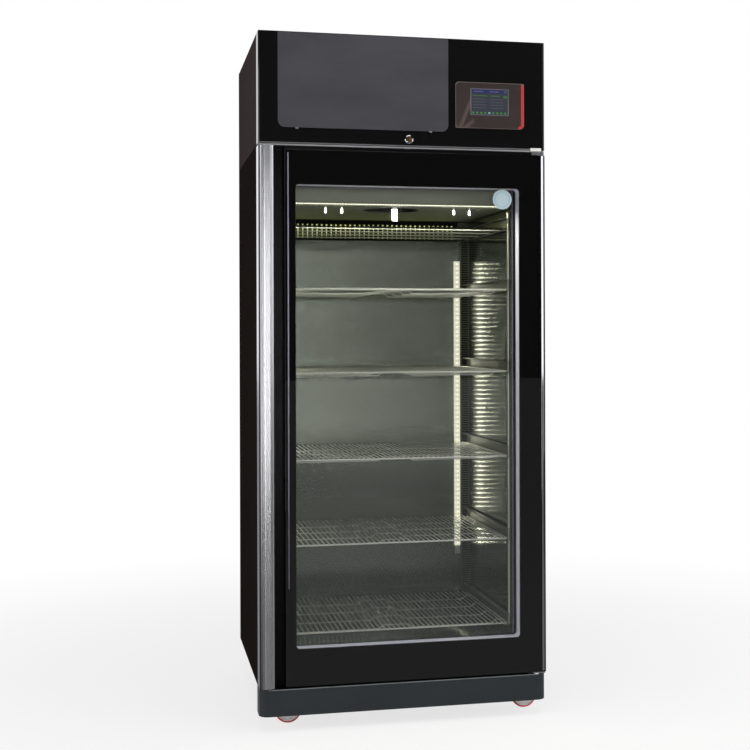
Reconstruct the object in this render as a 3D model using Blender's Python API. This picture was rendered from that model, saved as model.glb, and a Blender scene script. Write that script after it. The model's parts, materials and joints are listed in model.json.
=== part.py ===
"""Dry aging cabinet: an insulated body on four castors with one glass door, a machine compartment on top,
a ceiling air unit and six sliding wire shelves.

Metres, +Z up, the front faces -Y, +X is the right-hand side seen from the front. The origin is on the floor,
under the middle of the cabinet. Depths with names ending in _INSET run back from the face plane, which is
the outside of the door glass and of the header.
"""

import math

import bmesh
import bpy
from mathutils import Matrix, Vector

# Overall sizes
OVERALL_WIDTH = 0.880
OVERALL_DEPTH = 0.730
OVERALL_HEIGHT = 2.070
HEADER_HEIGHT = 0.332
GRIP_PROUD = 0.010
SEAT_GAP = 0.0003
CUT_OVERRUN = 0.020
FUSE_OVERLAP = 0.0005

# Insulated body
WALL_SIDE = 0.085
WALL_BACK = 0.075
WALL_FLOOR = 0.080
WALL_CEILING = 0.078
CASING_SHEET = 0.001
LINER_SHEET = 0.0008
TRIM_THICKNESS = 0.004

# Castors
WHEEL_RADIUS = 0.040
WHEEL_WIDTH = 0.026
HUB_WIDTH = 0.029
HUB_RADIUS = 0.013
WHEEL_DISH = 0.004
TREAD_DEPTH = 0.006
TREAD_SHOULDER = 0.002
AXLE_RADIUS = 0.004
AXLE_PLAY = 0.0004
CASTOR_TRAIL = 0.024
CASTOR_HEIGHT = 0.100
CASTOR_SIDE_INSET = 0.070
CASTOR_FRONT_INSET = 0.100
CASTOR_BACK_INSET = 0.110
CASTOR_PLATE_SIZE = 0.084
CASTOR_PLATE_THICKNESS = 0.003
KINGPIN_RADIUS = 0.005
KINGPIN_LENGTH = 0.011
KINGPIN_PLAY = 0.0005
CROWN_RADIUS = 0.026
CROWN_HEIGHT = 0.012
LEG_THICKNESS = 0.003
LEG_TOP_HALF = 0.016
LEG_FOOT_RADIUS = 0.011
LEG_LAP = 0.006

# Base rails and kick panel
RAIL_HEIGHT = 0.025
RAIL_SHEET = 0.003
RAIL_END_INSET = 0.020
KICK_FLOOR_GAP = 0.045
KICK_RETURN = 0.075
KICK_RADIUS = 0.035
KICK_SHEET = 0.002
KICK_FLANGE = 0.015

# Door
DOOR_THICKNESS = 0.057
DOOR_FLOOR_GAP = 0.006
DOOR_HEAD_GAP = 0.008
GASKET_GAP = 0.003
GLASS_THICKNESS = 0.005
GLASS_CORNER = 0.003
STILE_NOSE = 0.013
HEAD_NOSE = 0.0085
NOSE_CHAMFER = 0.002
GRIP_WIDTH = 0.044
FINGER_GAP = 0.0337
RECESS_DEPTH = 0.033
GROOVE_WIDTH = 0.015
GROOVE_DEPTH = 0.008
GROOVE_EDGE = 0.004
GROOVE_END_INSET = 0.006
WINDOW_LEFT_INSET = 0.110
WINDOW_RIGHT_INSET = 0.083
WINDOW_SILL = 0.110
WINDOW_HEAD = 0.112
WINDOW_CORNER = 0.010
SPACER_WALL = 0.004
INNER_GLASS_LAP = 0.012
GASKET_WIDTH = 0.020
GASKET_LIP = 0.0012

# Grip profile
GRIP_SHEET = 0.003
GRIP_FACE_START = 0.009
GRIP_SHOULDER = 0.008
GRIP_NOSE_DROP = 0.006
GRIP_NOSE_WIDTH = 0.010
GRIP_END_OVERHANG = 0.002

# Door hinges
HINGE_SIDE_INSET = 0.010
HINGE_FACE_INSET = 0.014
HINGE_WIDTH = 0.039
HINGE_EDGE_INSET = 0.002
HINGE_PLATE = 0.004
HINGE_FRONT_INSET = 0.004
HINGE_FLANGE_HEIGHT = 0.040
HINGE_FOOT_HEIGHT = 0.026
HINGE_FLANGE_WIDTH = 0.022
KNUCKLE_DROP = 0.008
KNUCKLE_DEPTH = 0.024
PIN_RADIUS = 0.005
PIN_LENGTH = 0.014
PIN_PLAY = 0.0005
NOTCH_CLEARANCE = 0.004
HINGE_RUNNING_GAP = 0.0012

# Header and its fittings
HEADER_SHEET = 0.0015
HEADER_PAN_DEPTH = 0.054
HEADER_CORNER = 0.006
SIDE_FLANGE = 0.015
DECK_SHEET = 0.002
DECK_UPSTAND = 0.060
GRILLE_INSET = 0.0045
GRILLE_SHEET = 0.002
GRILLE_SLOT_HEIGHT = 0.009
GRILLE_SLOT_PITCH = 0.026
GRILLE_ROWS = 9
GRILLE_MARGIN = 0.060
GRILLE_SPINE = 0.060
BOARD_GAP = 0.0225
BOARD_HEIGHT = 0.281
BOARD_LEFT_INSET = 0.058
BOARD_TOP_INSET = 0.003
BOARD_THICKNESS = 0.0025
BOARD_CORNER = 0.020
BOARD_TOP_CORNER = 0.004
BEZEL_WIDTH = 0.216
BEZEL_HEIGHT = 0.140
BEZEL_RIGHT_INSET = 0.067
BEZEL_RISE = 0.062
BEZEL_THICKNESS = 0.004
BEZEL_CORNER = 0.026
BEZEL_SMALL_CORNER = 0.003
SCREEN_WIDTH = 0.1205
SCREEN_HEIGHT = 0.081
SCREEN_LEFT_INSET = 0.0465
SCREEN_RISE = 0.040
SCREEN_THICKNESS = 0.0018
SCREEN_POCKET = 0.0025
CONTROL_MARGIN = 0.010
CONTROL_DEPTH = 0.044
CONTROL_GROOVE = 0.004
CONTROL_GROOVES = 7

# Door lock
LOCK_OFFSET = 0.013
LOCK_RISE = 0.022
LOCK_FLANGE_RADIUS = 0.0125
LOCK_FLANGE_PROUD = 0.003
LOCK_BODY_RADIUS = 0.0094
LOCK_BODY_DEPTH = 0.014
LOCK_BARREL_RADIUS = 0.0075
LOCK_BARREL_PLAY = 0.0005
LOCK_BARREL_PROUD = 0.0015
LOCK_HOLE_PLAY = 0.0004
LOCK_NUT_RADIUS = 0.013
LOCK_NUT_THICKNESS = 0.004
KEYWAY_WIDTH = 0.002
KEYWAY_HEIGHT = 0.008
KEYWAY_DEPTH = 0.006
CAM_INSET = 0.020
CAM_THICKNESS = 0.003
CAM_WIDTH = 0.012
CAM_SLOT_CLEARANCE = 0.002
STRIKE_WIDTH = 0.016
STRIKE_WALL = 0.004
STRIKE_CHANNEL = 0.009
STRIKE_BASE = 0.001
STRIKE_HEIGHT = 0.0055
CAM_TIP_CLEARANCE = 0.0006

# Condensing unit
COMPRESSOR_SIDE_INSET = 0.230
COMPRESSOR_INSET = 0.440
COMPRESSOR_RADIUS = 0.080
COMPRESSOR_HEIGHT = 0.170
COMPRESSOR_FLANGE = 0.004
FOOT_RADIUS = 0.013
FOOT_HEIGHT = 0.022
FOOT_SPREAD_X = 0.080
FOOT_SPREAD_Y = 0.070
FOOT_PLATE = 0.003
FOOT_PLATE_MARGIN = 0.016
TERMINAL_WIDTH = 0.060
TERMINAL_HEIGHT = 0.070
TERMINAL_PROUD = 0.018
STUB_RADIUS = 0.0065
STUB_OFFSET = 0.045
STUB_HEIGHT = 0.018
COIL_LEFT = 0.050
COIL_RIGHT_INSET = 0.050
COIL_HEIGHT = 0.275
COIL_INSET = 0.500
COIL_DEPTH = 0.070
FIN_PITCH = 0.017
FIN_CUT_DEPTH = 0.014
FIN_GAP_SHARE = 0.55
SHROUD_SHEET = 0.003
SHROUD_COLLAR = 0.026
SHROUD_COLLAR_WALL = 0.002
SHROUD_HOLE_RADIUS = 0.100
FAN_TIP_GAP = 0.005
FAN_BLADES = 5
FAN_HUB_RADIUS = 0.022
FAN_HUB_LENGTH = 0.024
FAN_HUB_INSET = 0.472
FAN_CHORD = 0.044
FAN_SHEET = 0.0015
FAN_ROOT_PITCH = math.radians(36)
FAN_TIP_PITCH = math.radians(22)
FAN_CAMBER = 0.004
SHAFT_RADIUS = 0.003
SHAFT_PLAY = 0.0005
SHAFT_LENGTH = 0.012
MOTOR_RADIUS = 0.035
MOTOR_LENGTH = 0.050
MOTOR_SHOULDER = 0.005
MOTOR_FAN_GAP = 0.004
SPIDER_ARMS = 4
SPIDER_WIDTH = 0.012
SPIDER_SHEET = 0.003
SPIDER_REACH = 0.110
SPIDER_FOOT = 0.004
PIPE_RADIUS = 0.005
PIPE_RISE = 0.060
PIPE_STEPS = 6
PIPE_DECK_OFFSET_X = 0.130
PIPE_DECK_OFFSET_Y = 0.110
INLET_SIDE_INSET = 0.110
INLET_RISE = 0.030
INLET_WIDTH = 0.050
INLET_HEIGHT = 0.028
INLET_FLANGE = 0.0035
INLET_BODY_WIDTH = 0.027
INLET_BODY_HEIGHT = 0.0195
INLET_BODY_DEPTH = 0.024
INLET_SOCKET_MARGIN = 0.0025
INLET_SOCKET_DEPTH = 0.014

# Ceiling air unit
COVER_SIDE_GAP = 0.005
COVER_FRONT_INSET = 0.095
COVER_BACK_GAP = 0.035
COVER_HEIGHT = 0.095
COVER_SHEET = 0.0015
COVER_SLOT_HEIGHT = 0.050
COVER_SLOT_RISE = 0.025
COVER_SLOTS = 6
COVER_SLOT_SHARE = 0.8
INTAKE_RADIUS = 0.090
INTAKE_INSET = 0.230
AIR_COIL_HALF = 0.256
AIR_COIL_FAN_GAP = 0.060
AIR_COIL_BACK_GAP = 0.050
AIR_COIL_HEAD_GAP = 0.008
TRAY_MARGIN = 0.014
TRAY_HEIGHT = 0.008
TRAY_SHEET = 0.001
AIR_MOTOR_RADIUS = 0.030
AIR_MOTOR_LENGTH = 0.036
AIR_MOTOR_FLANGE = 0.048
AIR_MOTOR_PLATE = 0.003
AIR_HUB_RADIUS = 0.020
AIR_HUB_LENGTH = 0.018
AIR_FAN_RADIUS = 0.082
AIR_FAN_CHORD = 0.036
PROBE_LEFT = 0.020
PROBE_WIDTH = 0.016
PROBE_DEPTH = 0.010
PROBE_LENGTH = 0.044
PROBE_INSET = 0.100
PROBE_CORNER = 0.003

# Light bars
LIP_LIGHT_HEIGHT = 0.007
LIP_LIGHT_DEPTH = 0.007
LIP_LIGHT_RISE = 0.0015
LIP_LIGHT_BEVEL = 0.002
LIP_LIGHT_END_GAP = 0.005
LIGHT_WIDTH = 0.020
LIGHT_DEPTH = 0.0104
LIGHT_CORNER_GAP = 0.033
LIGHT_FLOOR_RISE = 0.225
LIGHT_HEAD_GAP = 0.138
LIGHT_BEVEL = 0.004

# Shelves and racks
SHELF_RISE_SHARES = (0.0478, 0.2434, 0.4335, 0.6287, 0.8165)
HANGING_RACK_DROP = 0.058
SHELF_FRONT_INSET = 0.095
SHELF_BACK_GAP = 0.015
SHELF_SLIDE = 0.025
WIRE_PITCH = 0.0156
WIRE_WIDTH = 0.003
WIRE_DEPTH = 0.004
RIM_WIDTH = 0.006
ROD_WIDTH = 0.005
ROD_DEPTH = 0.0035
ROD_GAP = 0.0005
ROD_PLACE_SHARES = (0.12, 0.37, 0.63, 0.88)
RUNNER_HEIGHT = 0.038
RUNNER_FLANGE = 0.0155
RUNNER_SHEET = 0.0015
RUNNER_FRONT_INSET = 0.084
RUNNER_SIDE_PLAY = 0.0013
UPRIGHT_WIDTH = 0.020
UPRIGHT_DEPTH = 0.009
UPRIGHT_SHEET = 0.0015
UPRIGHT_FRONT_INSET = 0.088
REAR_UPRIGHT_WIDTH = 0.030
UPRIGHT_HEAD_RISE = 0.016

# Facet counts
WHEEL_FACETS = 20
ROUND_FACETS = 24
SMALL_FACETS = 16
CORNER_FACETS = 4

# Planes that the pieces share
HALF_WIDTH = OVERALL_WIDTH / 2
FACE_Y = GRIP_PROUD - OVERALL_DEPTH / 2
BACK_Y = OVERALL_DEPTH / 2
CASE_BOTTOM = CASTOR_HEIGHT + RAIL_HEIGHT
CASE_TOP = OVERALL_HEIGHT - HEADER_HEIGHT
DOOR_BACK_Y = FACE_Y + DOOR_THICKNESS
TRIM_Y = DOOR_BACK_Y + GASKET_GAP
CASE_FRONT_Y = TRIM_Y + TRIM_THICKNESS + SEAT_GAP
CAVITY_HALF = HALF_WIDTH - WALL_SIDE
CAVITY_BACK_Y = BACK_Y - WALL_BACK
CAVITY_FLOOR = CASE_BOTTOM + WALL_FLOOR
CAVITY_CEILING = CASE_TOP - WALL_CEILING
DOOR_BOTTOM = CASE_BOTTOM + DOOR_FLOOR_GAP
DOOR_TOP = CASE_TOP - DOOR_HEAD_GAP
GLASS_LEFT = -HALF_WIDTH + GRIP_WIDTH + FINGER_GAP
GLASS_RIGHT = HALF_WIDTH - STILE_NOSE
FRAME_FRONT_Y = FACE_Y + GLASS_THICKNESS + SEAT_GAP
REBATE_Y = DOOR_BACK_Y - GLASS_THICKNESS - SEAT_GAP
RECESS_Y = FACE_Y + RECESS_DEPTH
WINDOW_LEFT = -HALF_WIDTH + WINDOW_LEFT_INSET
WINDOW_RIGHT = HALF_WIDTH - WINDOW_RIGHT_INSET
WINDOW_BOTTOM = DOOR_BOTTOM + WINDOW_SILL
WINDOW_TOP = DOOR_TOP - WINDOW_HEAD
HINGE_X = HALF_WIDTH - HINGE_SIDE_INSET
HINGE_Y = FACE_Y + HINGE_FACE_INSET
BRACKET_BACK_Y = TRIM_Y - SEAT_GAP
BRACKET_RIGHT = HALF_WIDTH - HINGE_EDGE_INSET
BRACKET_LEFT = BRACKET_RIGHT - HINGE_WIDTH
LOCK_Z = CASE_TOP + LOCK_RISE
DECK_TOP = CASE_TOP + SEAT_GAP + DECK_SHEET
COMPRESSOR_X = -HALF_WIDTH + COMPRESSOR_SIDE_INSET
INLET_X = -HALF_WIDTH + INLET_SIDE_INSET
COIL_RIGHT = HALF_WIDTH - COIL_RIGHT_INSET
COIL_MIDDLE = (COIL_LEFT + COIL_RIGHT) / 2
SHELF_FRONT_Y = FACE_Y + SHELF_FRONT_INSET
SHELF_BACK_Y = CAVITY_BACK_Y - SHELF_BACK_GAP
SHELF_THICKNESS = WIRE_DEPTH + ROD_GAP + ROD_DEPTH
UPRIGHT_INNER_X = CAVITY_HALF - UPRIGHT_DEPTH
RUNNER_WEB_X = UPRIGHT_INNER_X + FUSE_OVERLAP - RUNNER_SHEET
SHELF_HALF = RUNNER_WEB_X - RUNNER_SIDE_PLAY
COVER_BOTTOM = CAVITY_CEILING - COVER_HEIGHT
SHELF_TOPS = [CAVITY_FLOOR + (COVER_BOTTOM - CAVITY_FLOOR) * share for share in SHELF_RISE_SHARES]
SHELF_TOPS.append(COVER_BOTTOM - HANGING_RACK_DROP)
COVER_FRONT_Y = FACE_Y + COVER_FRONT_INSET
COVER_BACK_Y = CAVITY_BACK_Y - COVER_BACK_GAP
COVER_HALF = CAVITY_HALF - COVER_SIDE_GAP


def clear_scene():
    """Empties the scene before the model is built."""
    for item in list(bpy.data.objects):
        bpy.data.objects.remove(item, do_unlink=True)


def finish(name, colour, roughness, metallic, alpha=1.0):
    """A Principled material."""
    material = bpy.data.materials.new(name)
    material.use_nodes = True
    shader = material.node_tree.nodes["Principled BSDF"]
    shader.inputs["Base Color"].default_value = (*colour, 1)
    shader.inputs["Roughness"].default_value = roughness
    shader.inputs["Metallic"].default_value = metallic
    shader.inputs["Alpha"].default_value = alpha
    return material


def mesh_of(bm, name="shape"):
    """Closes a bmesh into a mesh whose faces point outwards."""
    bmesh.ops.recalc_face_normals(bm, faces=bm.faces)
    mesh = bpy.data.meshes.new(name)
    bm.to_mesh(mesh)
    bm.free()
    return mesh


def block(low, high):
    """A rectangular block between two corners."""
    bm = bmesh.new()
    bmesh.ops.create_cube(bm, size=1)
    size = Vector(high) - Vector(low)
    centre = (Vector(high) + Vector(low)) / 2
    bmesh.ops.transform(bm, matrix=Matrix.Translation(centre) @ Matrix.Diagonal((*size, 1)), verts=bm.verts)
    return mesh_of(bm)


PLANES = {
    "X": lambda u, v, along: (along, u, v),
    "Y": lambda u, v, along: (u, along, v),
    "Z": lambda u, v, along: (u, v, along),
}


def prism(outline, start, end, axis="Z", holes=()):
    """Extrudes a flat outline, with any holes, from start to end along an axis."""
    bm = bmesh.new()
    to_space = PLANES[axis]
    edges = []
    for loop in (outline, *holes):
        corners = [bm.verts.new(to_space(u, v, start)) for u, v in loop]
        edges += [bm.edges.new((a, b)) for a, b in zip(corners, corners[1:] + corners[:1])]
    if holes:
        bmesh.ops.triangle_fill(bm, use_beauty=True, edges=edges)
    else:
        bm.faces.new(bm.verts)
    made = bmesh.ops.extrude_face_region(bm, geom=bm.faces[:])
    moved = [item for item in made["geom"] if isinstance(item, bmesh.types.BMVert)]
    bmesh.ops.translate(bm, vec=Vector(to_space(0, 0, end)) - Vector(to_space(0, 0, start)), verts=moved)
    return mesh_of(bm)


def lathe(profile, centre, axis="Z", facets=ROUND_FACETS, flat_foot=False):
    """Turns a closed profile of (radius, height) points about an axis through centre.

    flat_foot turns the facets half a step, so that one of them, and not an edge, faces down.
    """
    bm = bmesh.new()
    corners = [bm.verts.new((radius, 0, height)) for radius, height in profile]
    edges = [bm.edges.new((a, b)) for a, b in zip(corners, corners[1:] + corners[:1])]
    bmesh.ops.spin(bm, geom=corners + edges, cent=(0, 0, 0), axis=(0, 0, 1), dvec=(0, 0, 0),
                   angle=math.tau, steps=facets, use_merge=True)
    bmesh.ops.remove_doubles(bm, verts=bm.verts, dist=SEAT_GAP / 10)
    turn = {
        "X": Matrix.Rotation(math.pi / 2, 4, "Y"),
        "Y": Matrix.Rotation(-math.pi / 2, 4, "X"),
        "Z": Matrix.Identity(4),
    }[axis]
    half_step = Matrix.Rotation(math.pi / facets if flat_foot else 0, 4, "Z")
    bmesh.ops.transform(bm, matrix=Matrix.Translation(centre) @ turn @ half_step, verts=bm.verts)
    return mesh_of(bm)


def disc(radius, start, end, centre, axis="Z", facets=SMALL_FACETS):
    """A round bar from start to end along an axis, whose other two places come from centre."""
    profile = [(0, end - start), (radius, end - start), (radius, 0), (0, 0)]
    place = list(centre)
    place["XYZ".index(axis)] = start
    return lathe(profile, place, axis, facets)


def rounded_outline(low, high, radii, facets=CORNER_FACETS):
    """A rectangle's outline with its own radius at each corner: low-left, low-right, high-right, high-left."""
    (left, bottom), (right, top) = low, high
    corners = ((left, bottom, 1, 1), (right, bottom, -1, 1), (right, top, -1, -1), (left, top, 1, -1))
    outline = []
    for turn, ((u, v, inward_u, inward_v), radius) in enumerate(zip(corners, radii)):
        if radius <= 0:
            outline.append((u, v))
            continue
        for step in range(facets + 1):
            angle = math.pi + math.pi / 2 * (turn + step / facets)
            outline.append((u + inward_u * radius + radius * math.cos(angle),
                            v + inward_v * radius + radius * math.sin(angle)))
    return outline


def circle(centre, radius, facets=ROUND_FACETS):
    """A round outline."""
    return [(centre[0] + radius * math.cos(math.tau * step / facets),
             centre[1] + radius * math.sin(math.tau * step / facets)) for step in range(facets)]


def helper_object(mesh):
    """Links a mesh for the length of one boolean."""
    item = bpy.data.objects.new("tool", mesh)
    bpy.context.scene.collection.objects.link(item)
    return item


def joined(base, adds=(), cuts=()):
    """Fuses meshes to a base mesh, cuts others out of it and returns the result."""
    body = helper_object(base)
    tools = []
    for operation, meshes in (("UNION", adds), ("DIFFERENCE", cuts)):
        for mesh in meshes:
            tool = helper_object(mesh)
            step = body.modifiers.new("join", "BOOLEAN")
            step.operation = operation
            step.solver = "EXACT"
            step.object = tool
            tools.append(tool)
    bpy.context.view_layer.update()
    graph = bpy.context.evaluated_depsgraph_get()
    result = bpy.data.meshes.new_from_object(body.evaluated_get(graph))
    for item in (body, *tools):
        bpy.data.objects.remove(item, do_unlink=True)
    return result


def piece(name, mesh, material, axis_empty=None, smooth=False):
    """One finished piece of the cabinet, carried by the empty on its joint's axis where it moves."""
    mesh.name = name
    mesh.materials.clear()
    mesh.materials.append(material)
    if smooth:
        mesh.shade_smooth()
        mesh.set_sharp_from_angle(angle=math.radians(35))
    item = bpy.data.objects.new(name, mesh)
    bpy.context.scene.collection.objects.link(item)
    ride(item, axis_empty)
    return item


def ride(item, axis_empty):
    """Parents an object that is built in place to an empty."""
    if axis_empty:
        item.parent = axis_empty
        item.matrix_parent_inverse = Matrix.Translation(axis_empty["place"]).inverted()


def joint_axis(name, place, parent=None):
    """An empty on a joint's axis."""
    empty = bpy.data.objects.new(name, None)
    empty["place"] = place
    bpy.context.scene.collection.objects.link(empty)
    empty.location = place
    ride(empty, parent)
    return empty


def open_box(low, high, wall, open_side):
    """A sheet box whose walls are cut through on one side, such as -Y."""
    inner_low = [value + wall for value in low]
    inner_high = [value - wall for value in high]
    place = "XYZ".index(open_side[1])
    if open_side[0] == "-":
        inner_low[place] = low[place] - CUT_OVERRUN
    else:
        inner_high[place] = high[place] + CUT_OVERRUN
    return joined(block(low, high), cuts=[block(inner_low, inner_high)])


def comb_outline(start, end, front, back, pitch, groove):
    """The plan outline of a finned block, with grooves in its front and its back."""
    count = max(1, round((end - start) / pitch))
    step = (end - start) / count
    gap = step * FIN_GAP_SHARE
    front_edge, back_edge = [(start, front)], []
    for index in range(count):
        left = start + step * index + (step - gap) / 2
        front_edge += [(left, front), (left, front + groove), (left + gap, front + groove), (left + gap, front)]
        back_edge += [(left, back), (left, back - groove), (left + gap, back - groove), (left + gap, back)]
    return front_edge + [(end, front), (end, back)] + back_edge[::-1] + [(start, back)]


# Insulated body

def build_body(steel, foam, stainless, trim_paint):
    """Casing, foam, liner and the trim ring round the door opening."""
    casing_low = (-HALF_WIDTH, CASE_FRONT_Y, CASE_BOTTOM)
    casing_high = (HALF_WIDTH, BACK_Y, CASE_TOP)
    piece("outer_casing", open_box(casing_low, casing_high, CASING_SHEET, "-Y"), steel)

    skin = CASING_SHEET + SEAT_GAP
    foam_block = block((-HALF_WIDTH + skin, CASE_FRONT_Y, CASE_BOTTOM + skin),
                       (HALF_WIDTH - skin, BACK_Y - skin, CASE_TOP - skin))
    lining = LINER_SHEET + SEAT_GAP
    hollow = block((-CAVITY_HALF - lining, CASE_FRONT_Y - CUT_OVERRUN, CAVITY_FLOOR - lining),
                   (CAVITY_HALF + lining, CAVITY_BACK_Y + lining, CAVITY_CEILING + lining))
    piece("insulation", joined(foam_block, cuts=[hollow]), foam)

    liner_low = (-CAVITY_HALF - LINER_SHEET, CASE_FRONT_Y, CAVITY_FLOOR - LINER_SHEET)
    liner_high = (CAVITY_HALF + LINER_SHEET, CAVITY_BACK_Y + LINER_SHEET, CAVITY_CEILING + LINER_SHEET)
    piece("inner_liner", open_box(liner_low, liner_high, LINER_SHEET, "-Y"), stainless)

    ring = rounded_outline((-HALF_WIDTH, CASE_BOTTOM), (HALF_WIDTH, CASE_TOP), (0, 0, 0, 0))
    mouth = rounded_outline((-CAVITY_HALF, CAVITY_FLOOR), (CAVITY_HALF, CAVITY_CEILING), (0, 0, 0, 0))
    piece("opening_trim", prism(ring, TRIM_Y, TRIM_Y + TRIM_THICKNESS, "Y", [mouth]), trim_paint)


# Base

def kick_band(outer_inset, inner_inset, low, high):
    """A strip that follows the kick panel's U-shaped plan between two insets from its outside."""
    back = FACE_Y + KICK_RETURN

    def path(inset):
        radius = KICK_RADIUS - inset
        points = [(-HALF_WIDTH + inset, back)]
        for side, first in ((-1, math.pi), (1, math.pi * 1.5)):
            centre_x = side * (HALF_WIDTH - KICK_RADIUS)
            for step in range(CORNER_FACETS + 1):
                angle = first + math.pi / 2 * step / CORNER_FACETS
                points.append((centre_x + radius * math.cos(angle),
                               FACE_Y + KICK_RADIUS + radius * math.sin(angle)))
        return points + [(HALF_WIDTH - inset, back)]

    return prism(path(outer_inset) + path(inner_inset)[::-1], low, high)


def build_base(steel, slate):
    """Two channel rails with their castor plates, and the kick panel in front."""
    top = CASE_BOTTOM - SEAT_GAP
    half_length = HALF_WIDTH - RAIL_END_INSET
    rows = (("base_rail_front", FACE_Y + CASTOR_FRONT_INSET), ("base_rail_rear", BACK_Y - CASTOR_BACK_INSET))
    for name, castor_y in rows:
        half_plate = CASTOR_PLATE_SIZE / 2
        front, back = castor_y - half_plate, castor_y + half_plate
        if name == "base_rail_front":
            front = TRIM_Y
        inner_front, inner_back = front + RAIL_SHEET, back - RAIL_SHEET
        web_top = CASTOR_HEIGHT + RAIL_SHEET
        channel = [(front, CASTOR_HEIGHT), (back, CASTOR_HEIGHT), (back, top), (inner_back, top),
                   (inner_back, web_top), (inner_front, web_top), (inner_front, top), (front, top)]
        fittings = []
        for side in (-1, 1):
            castor_x = side * (HALF_WIDTH - CASTOR_SIDE_INSET)
            plate_bottom = CASTOR_HEIGHT - CASTOR_PLATE_THICKNESS
            fittings.append(block((castor_x - half_plate + RAIL_SHEET, front + RAIL_SHEET, plate_bottom),
                                  (castor_x + half_plate - RAIL_SHEET, back - RAIL_SHEET, web_top)))
            fittings.append(disc(KINGPIN_RADIUS, plate_bottom - KINGPIN_LENGTH, CASTOR_HEIGHT,
                                 (castor_x, castor_y, 0)))
        piece(name, joined(prism(channel, -half_length, half_length, "X"), adds=fittings), steel)

    wall = kick_band(0, KICK_SHEET, KICK_FLOOR_GAP, top)
    flange = kick_band(KICK_SHEET / 2, KICK_FLANGE, top - KICK_SHEET, top)
    piece("kick_panel", joined(wall, adds=[flange]), slate)


def fork_mesh():
    """A castor fork at the origin's swivel axis, trailing to +X, with its axle."""
    crown_top = CASTOR_HEIGHT - CASTOR_PLATE_THICKNESS - SEAT_GAP
    crown_bottom = crown_top - CROWN_HEIGHT
    leg_top = crown_bottom + LEG_LAP
    inner = HUB_WIDTH / 2 + SEAT_GAP
    outline = [(-LEG_TOP_HALF, leg_top), (LEG_TOP_HALF, leg_top)]
    for step in range(CORNER_FACETS * 2 + 1):
        angle = math.radians(15) - math.pi * step / (CORNER_FACETS * 2)
        outline.append((CASTOR_TRAIL + LEG_FOOT_RADIUS * math.cos(angle),
                        WHEEL_RADIUS + LEG_FOOT_RADIUS * math.sin(angle)))
    legs = [prism(outline, side * inner, side * (inner + LEG_THICKNESS), "Y") for side in (-1, 1)]
    reach = inner + LEG_THICKNESS - FUSE_OVERLAP
    axle = disc(AXLE_RADIUS, -reach, reach, (CASTOR_TRAIL, 0, WHEEL_RADIUS), "Y")
    crown = disc(CROWN_RADIUS, crown_bottom, crown_top, (0, 0, 0), facets=ROUND_FACETS)
    bore = disc(KINGPIN_RADIUS + KINGPIN_PLAY, crown_bottom - CUT_OVERRUN, crown_top + CUT_OVERRUN, (0, 0, 0))
    return joined(crown, adds=[*legs, axle], cuts=[bore])


def wheel_mesh():
    """A castor wheel round the origin's Y axis: tread, dished web and hub."""
    outer = WHEEL_RADIUS / math.cos(math.pi / WHEEL_FACETS)
    half, hub = WHEEL_WIDTH / 2, HUB_WIDTH / 2
    bore = AXLE_RADIUS + AXLE_PLAY
    rim = outer - TREAD_DEPTH
    right = [(bore, hub), (HUB_RADIUS, hub), (HUB_RADIUS + WHEEL_DISH, half - WHEEL_DISH),
             (rim - WHEEL_DISH, half - WHEEL_DISH), (rim, half), (outer - TREAD_SHOULDER, half),
             (outer, half - TREAD_SHOULDER)]
    profile = right + [(radius, -height) for radius, height in right[::-1]]
    return lathe(profile, (0, 0, 0), "Y", WHEEL_FACETS, flat_foot=True)


def build_castors(zinc, rubber):
    """Four swivel castors, each a fork on its kingpin and a wheel on the fork's axle."""
    fork, wheel = fork_mesh(), wheel_mesh()
    for corner, side, castor_y in (("front_left", -1, FACE_Y + CASTOR_FRONT_INSET),
                                   ("front_right", 1, FACE_Y + CASTOR_FRONT_INSET),
                                   ("rear_left", -1, BACK_Y - CASTOR_BACK_INSET),
                                   ("rear_right", 1, BACK_Y - CASTOR_BACK_INSET)):
        castor_x = side * (HALF_WIDTH - CASTOR_SIDE_INSET)
        swivel = joint_axis(f"castor_{corner}_swivel", (castor_x, castor_y, 0))
        fork_item = piece(f"castor_{corner}_fork", fork, zinc, smooth=True)
        fork_item.parent = swivel
        wheel_item = piece(f"castor_{corner}_wheel", wheel, rubber, smooth=True)
        wheel_item.parent = swivel
        wheel_item.location = (CASTOR_TRAIL, 0, WHEEL_RADIUS)


# Door

def window_outline(margin):
    """The door window's rounded outline, widened by a margin."""
    radius = WINDOW_CORNER + margin
    return rounded_outline((WINDOW_LEFT - margin, WINDOW_BOTTOM - margin),
                           (WINDOW_RIGHT + margin, WINDOW_TOP + margin), (radius,) * 4)


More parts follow.
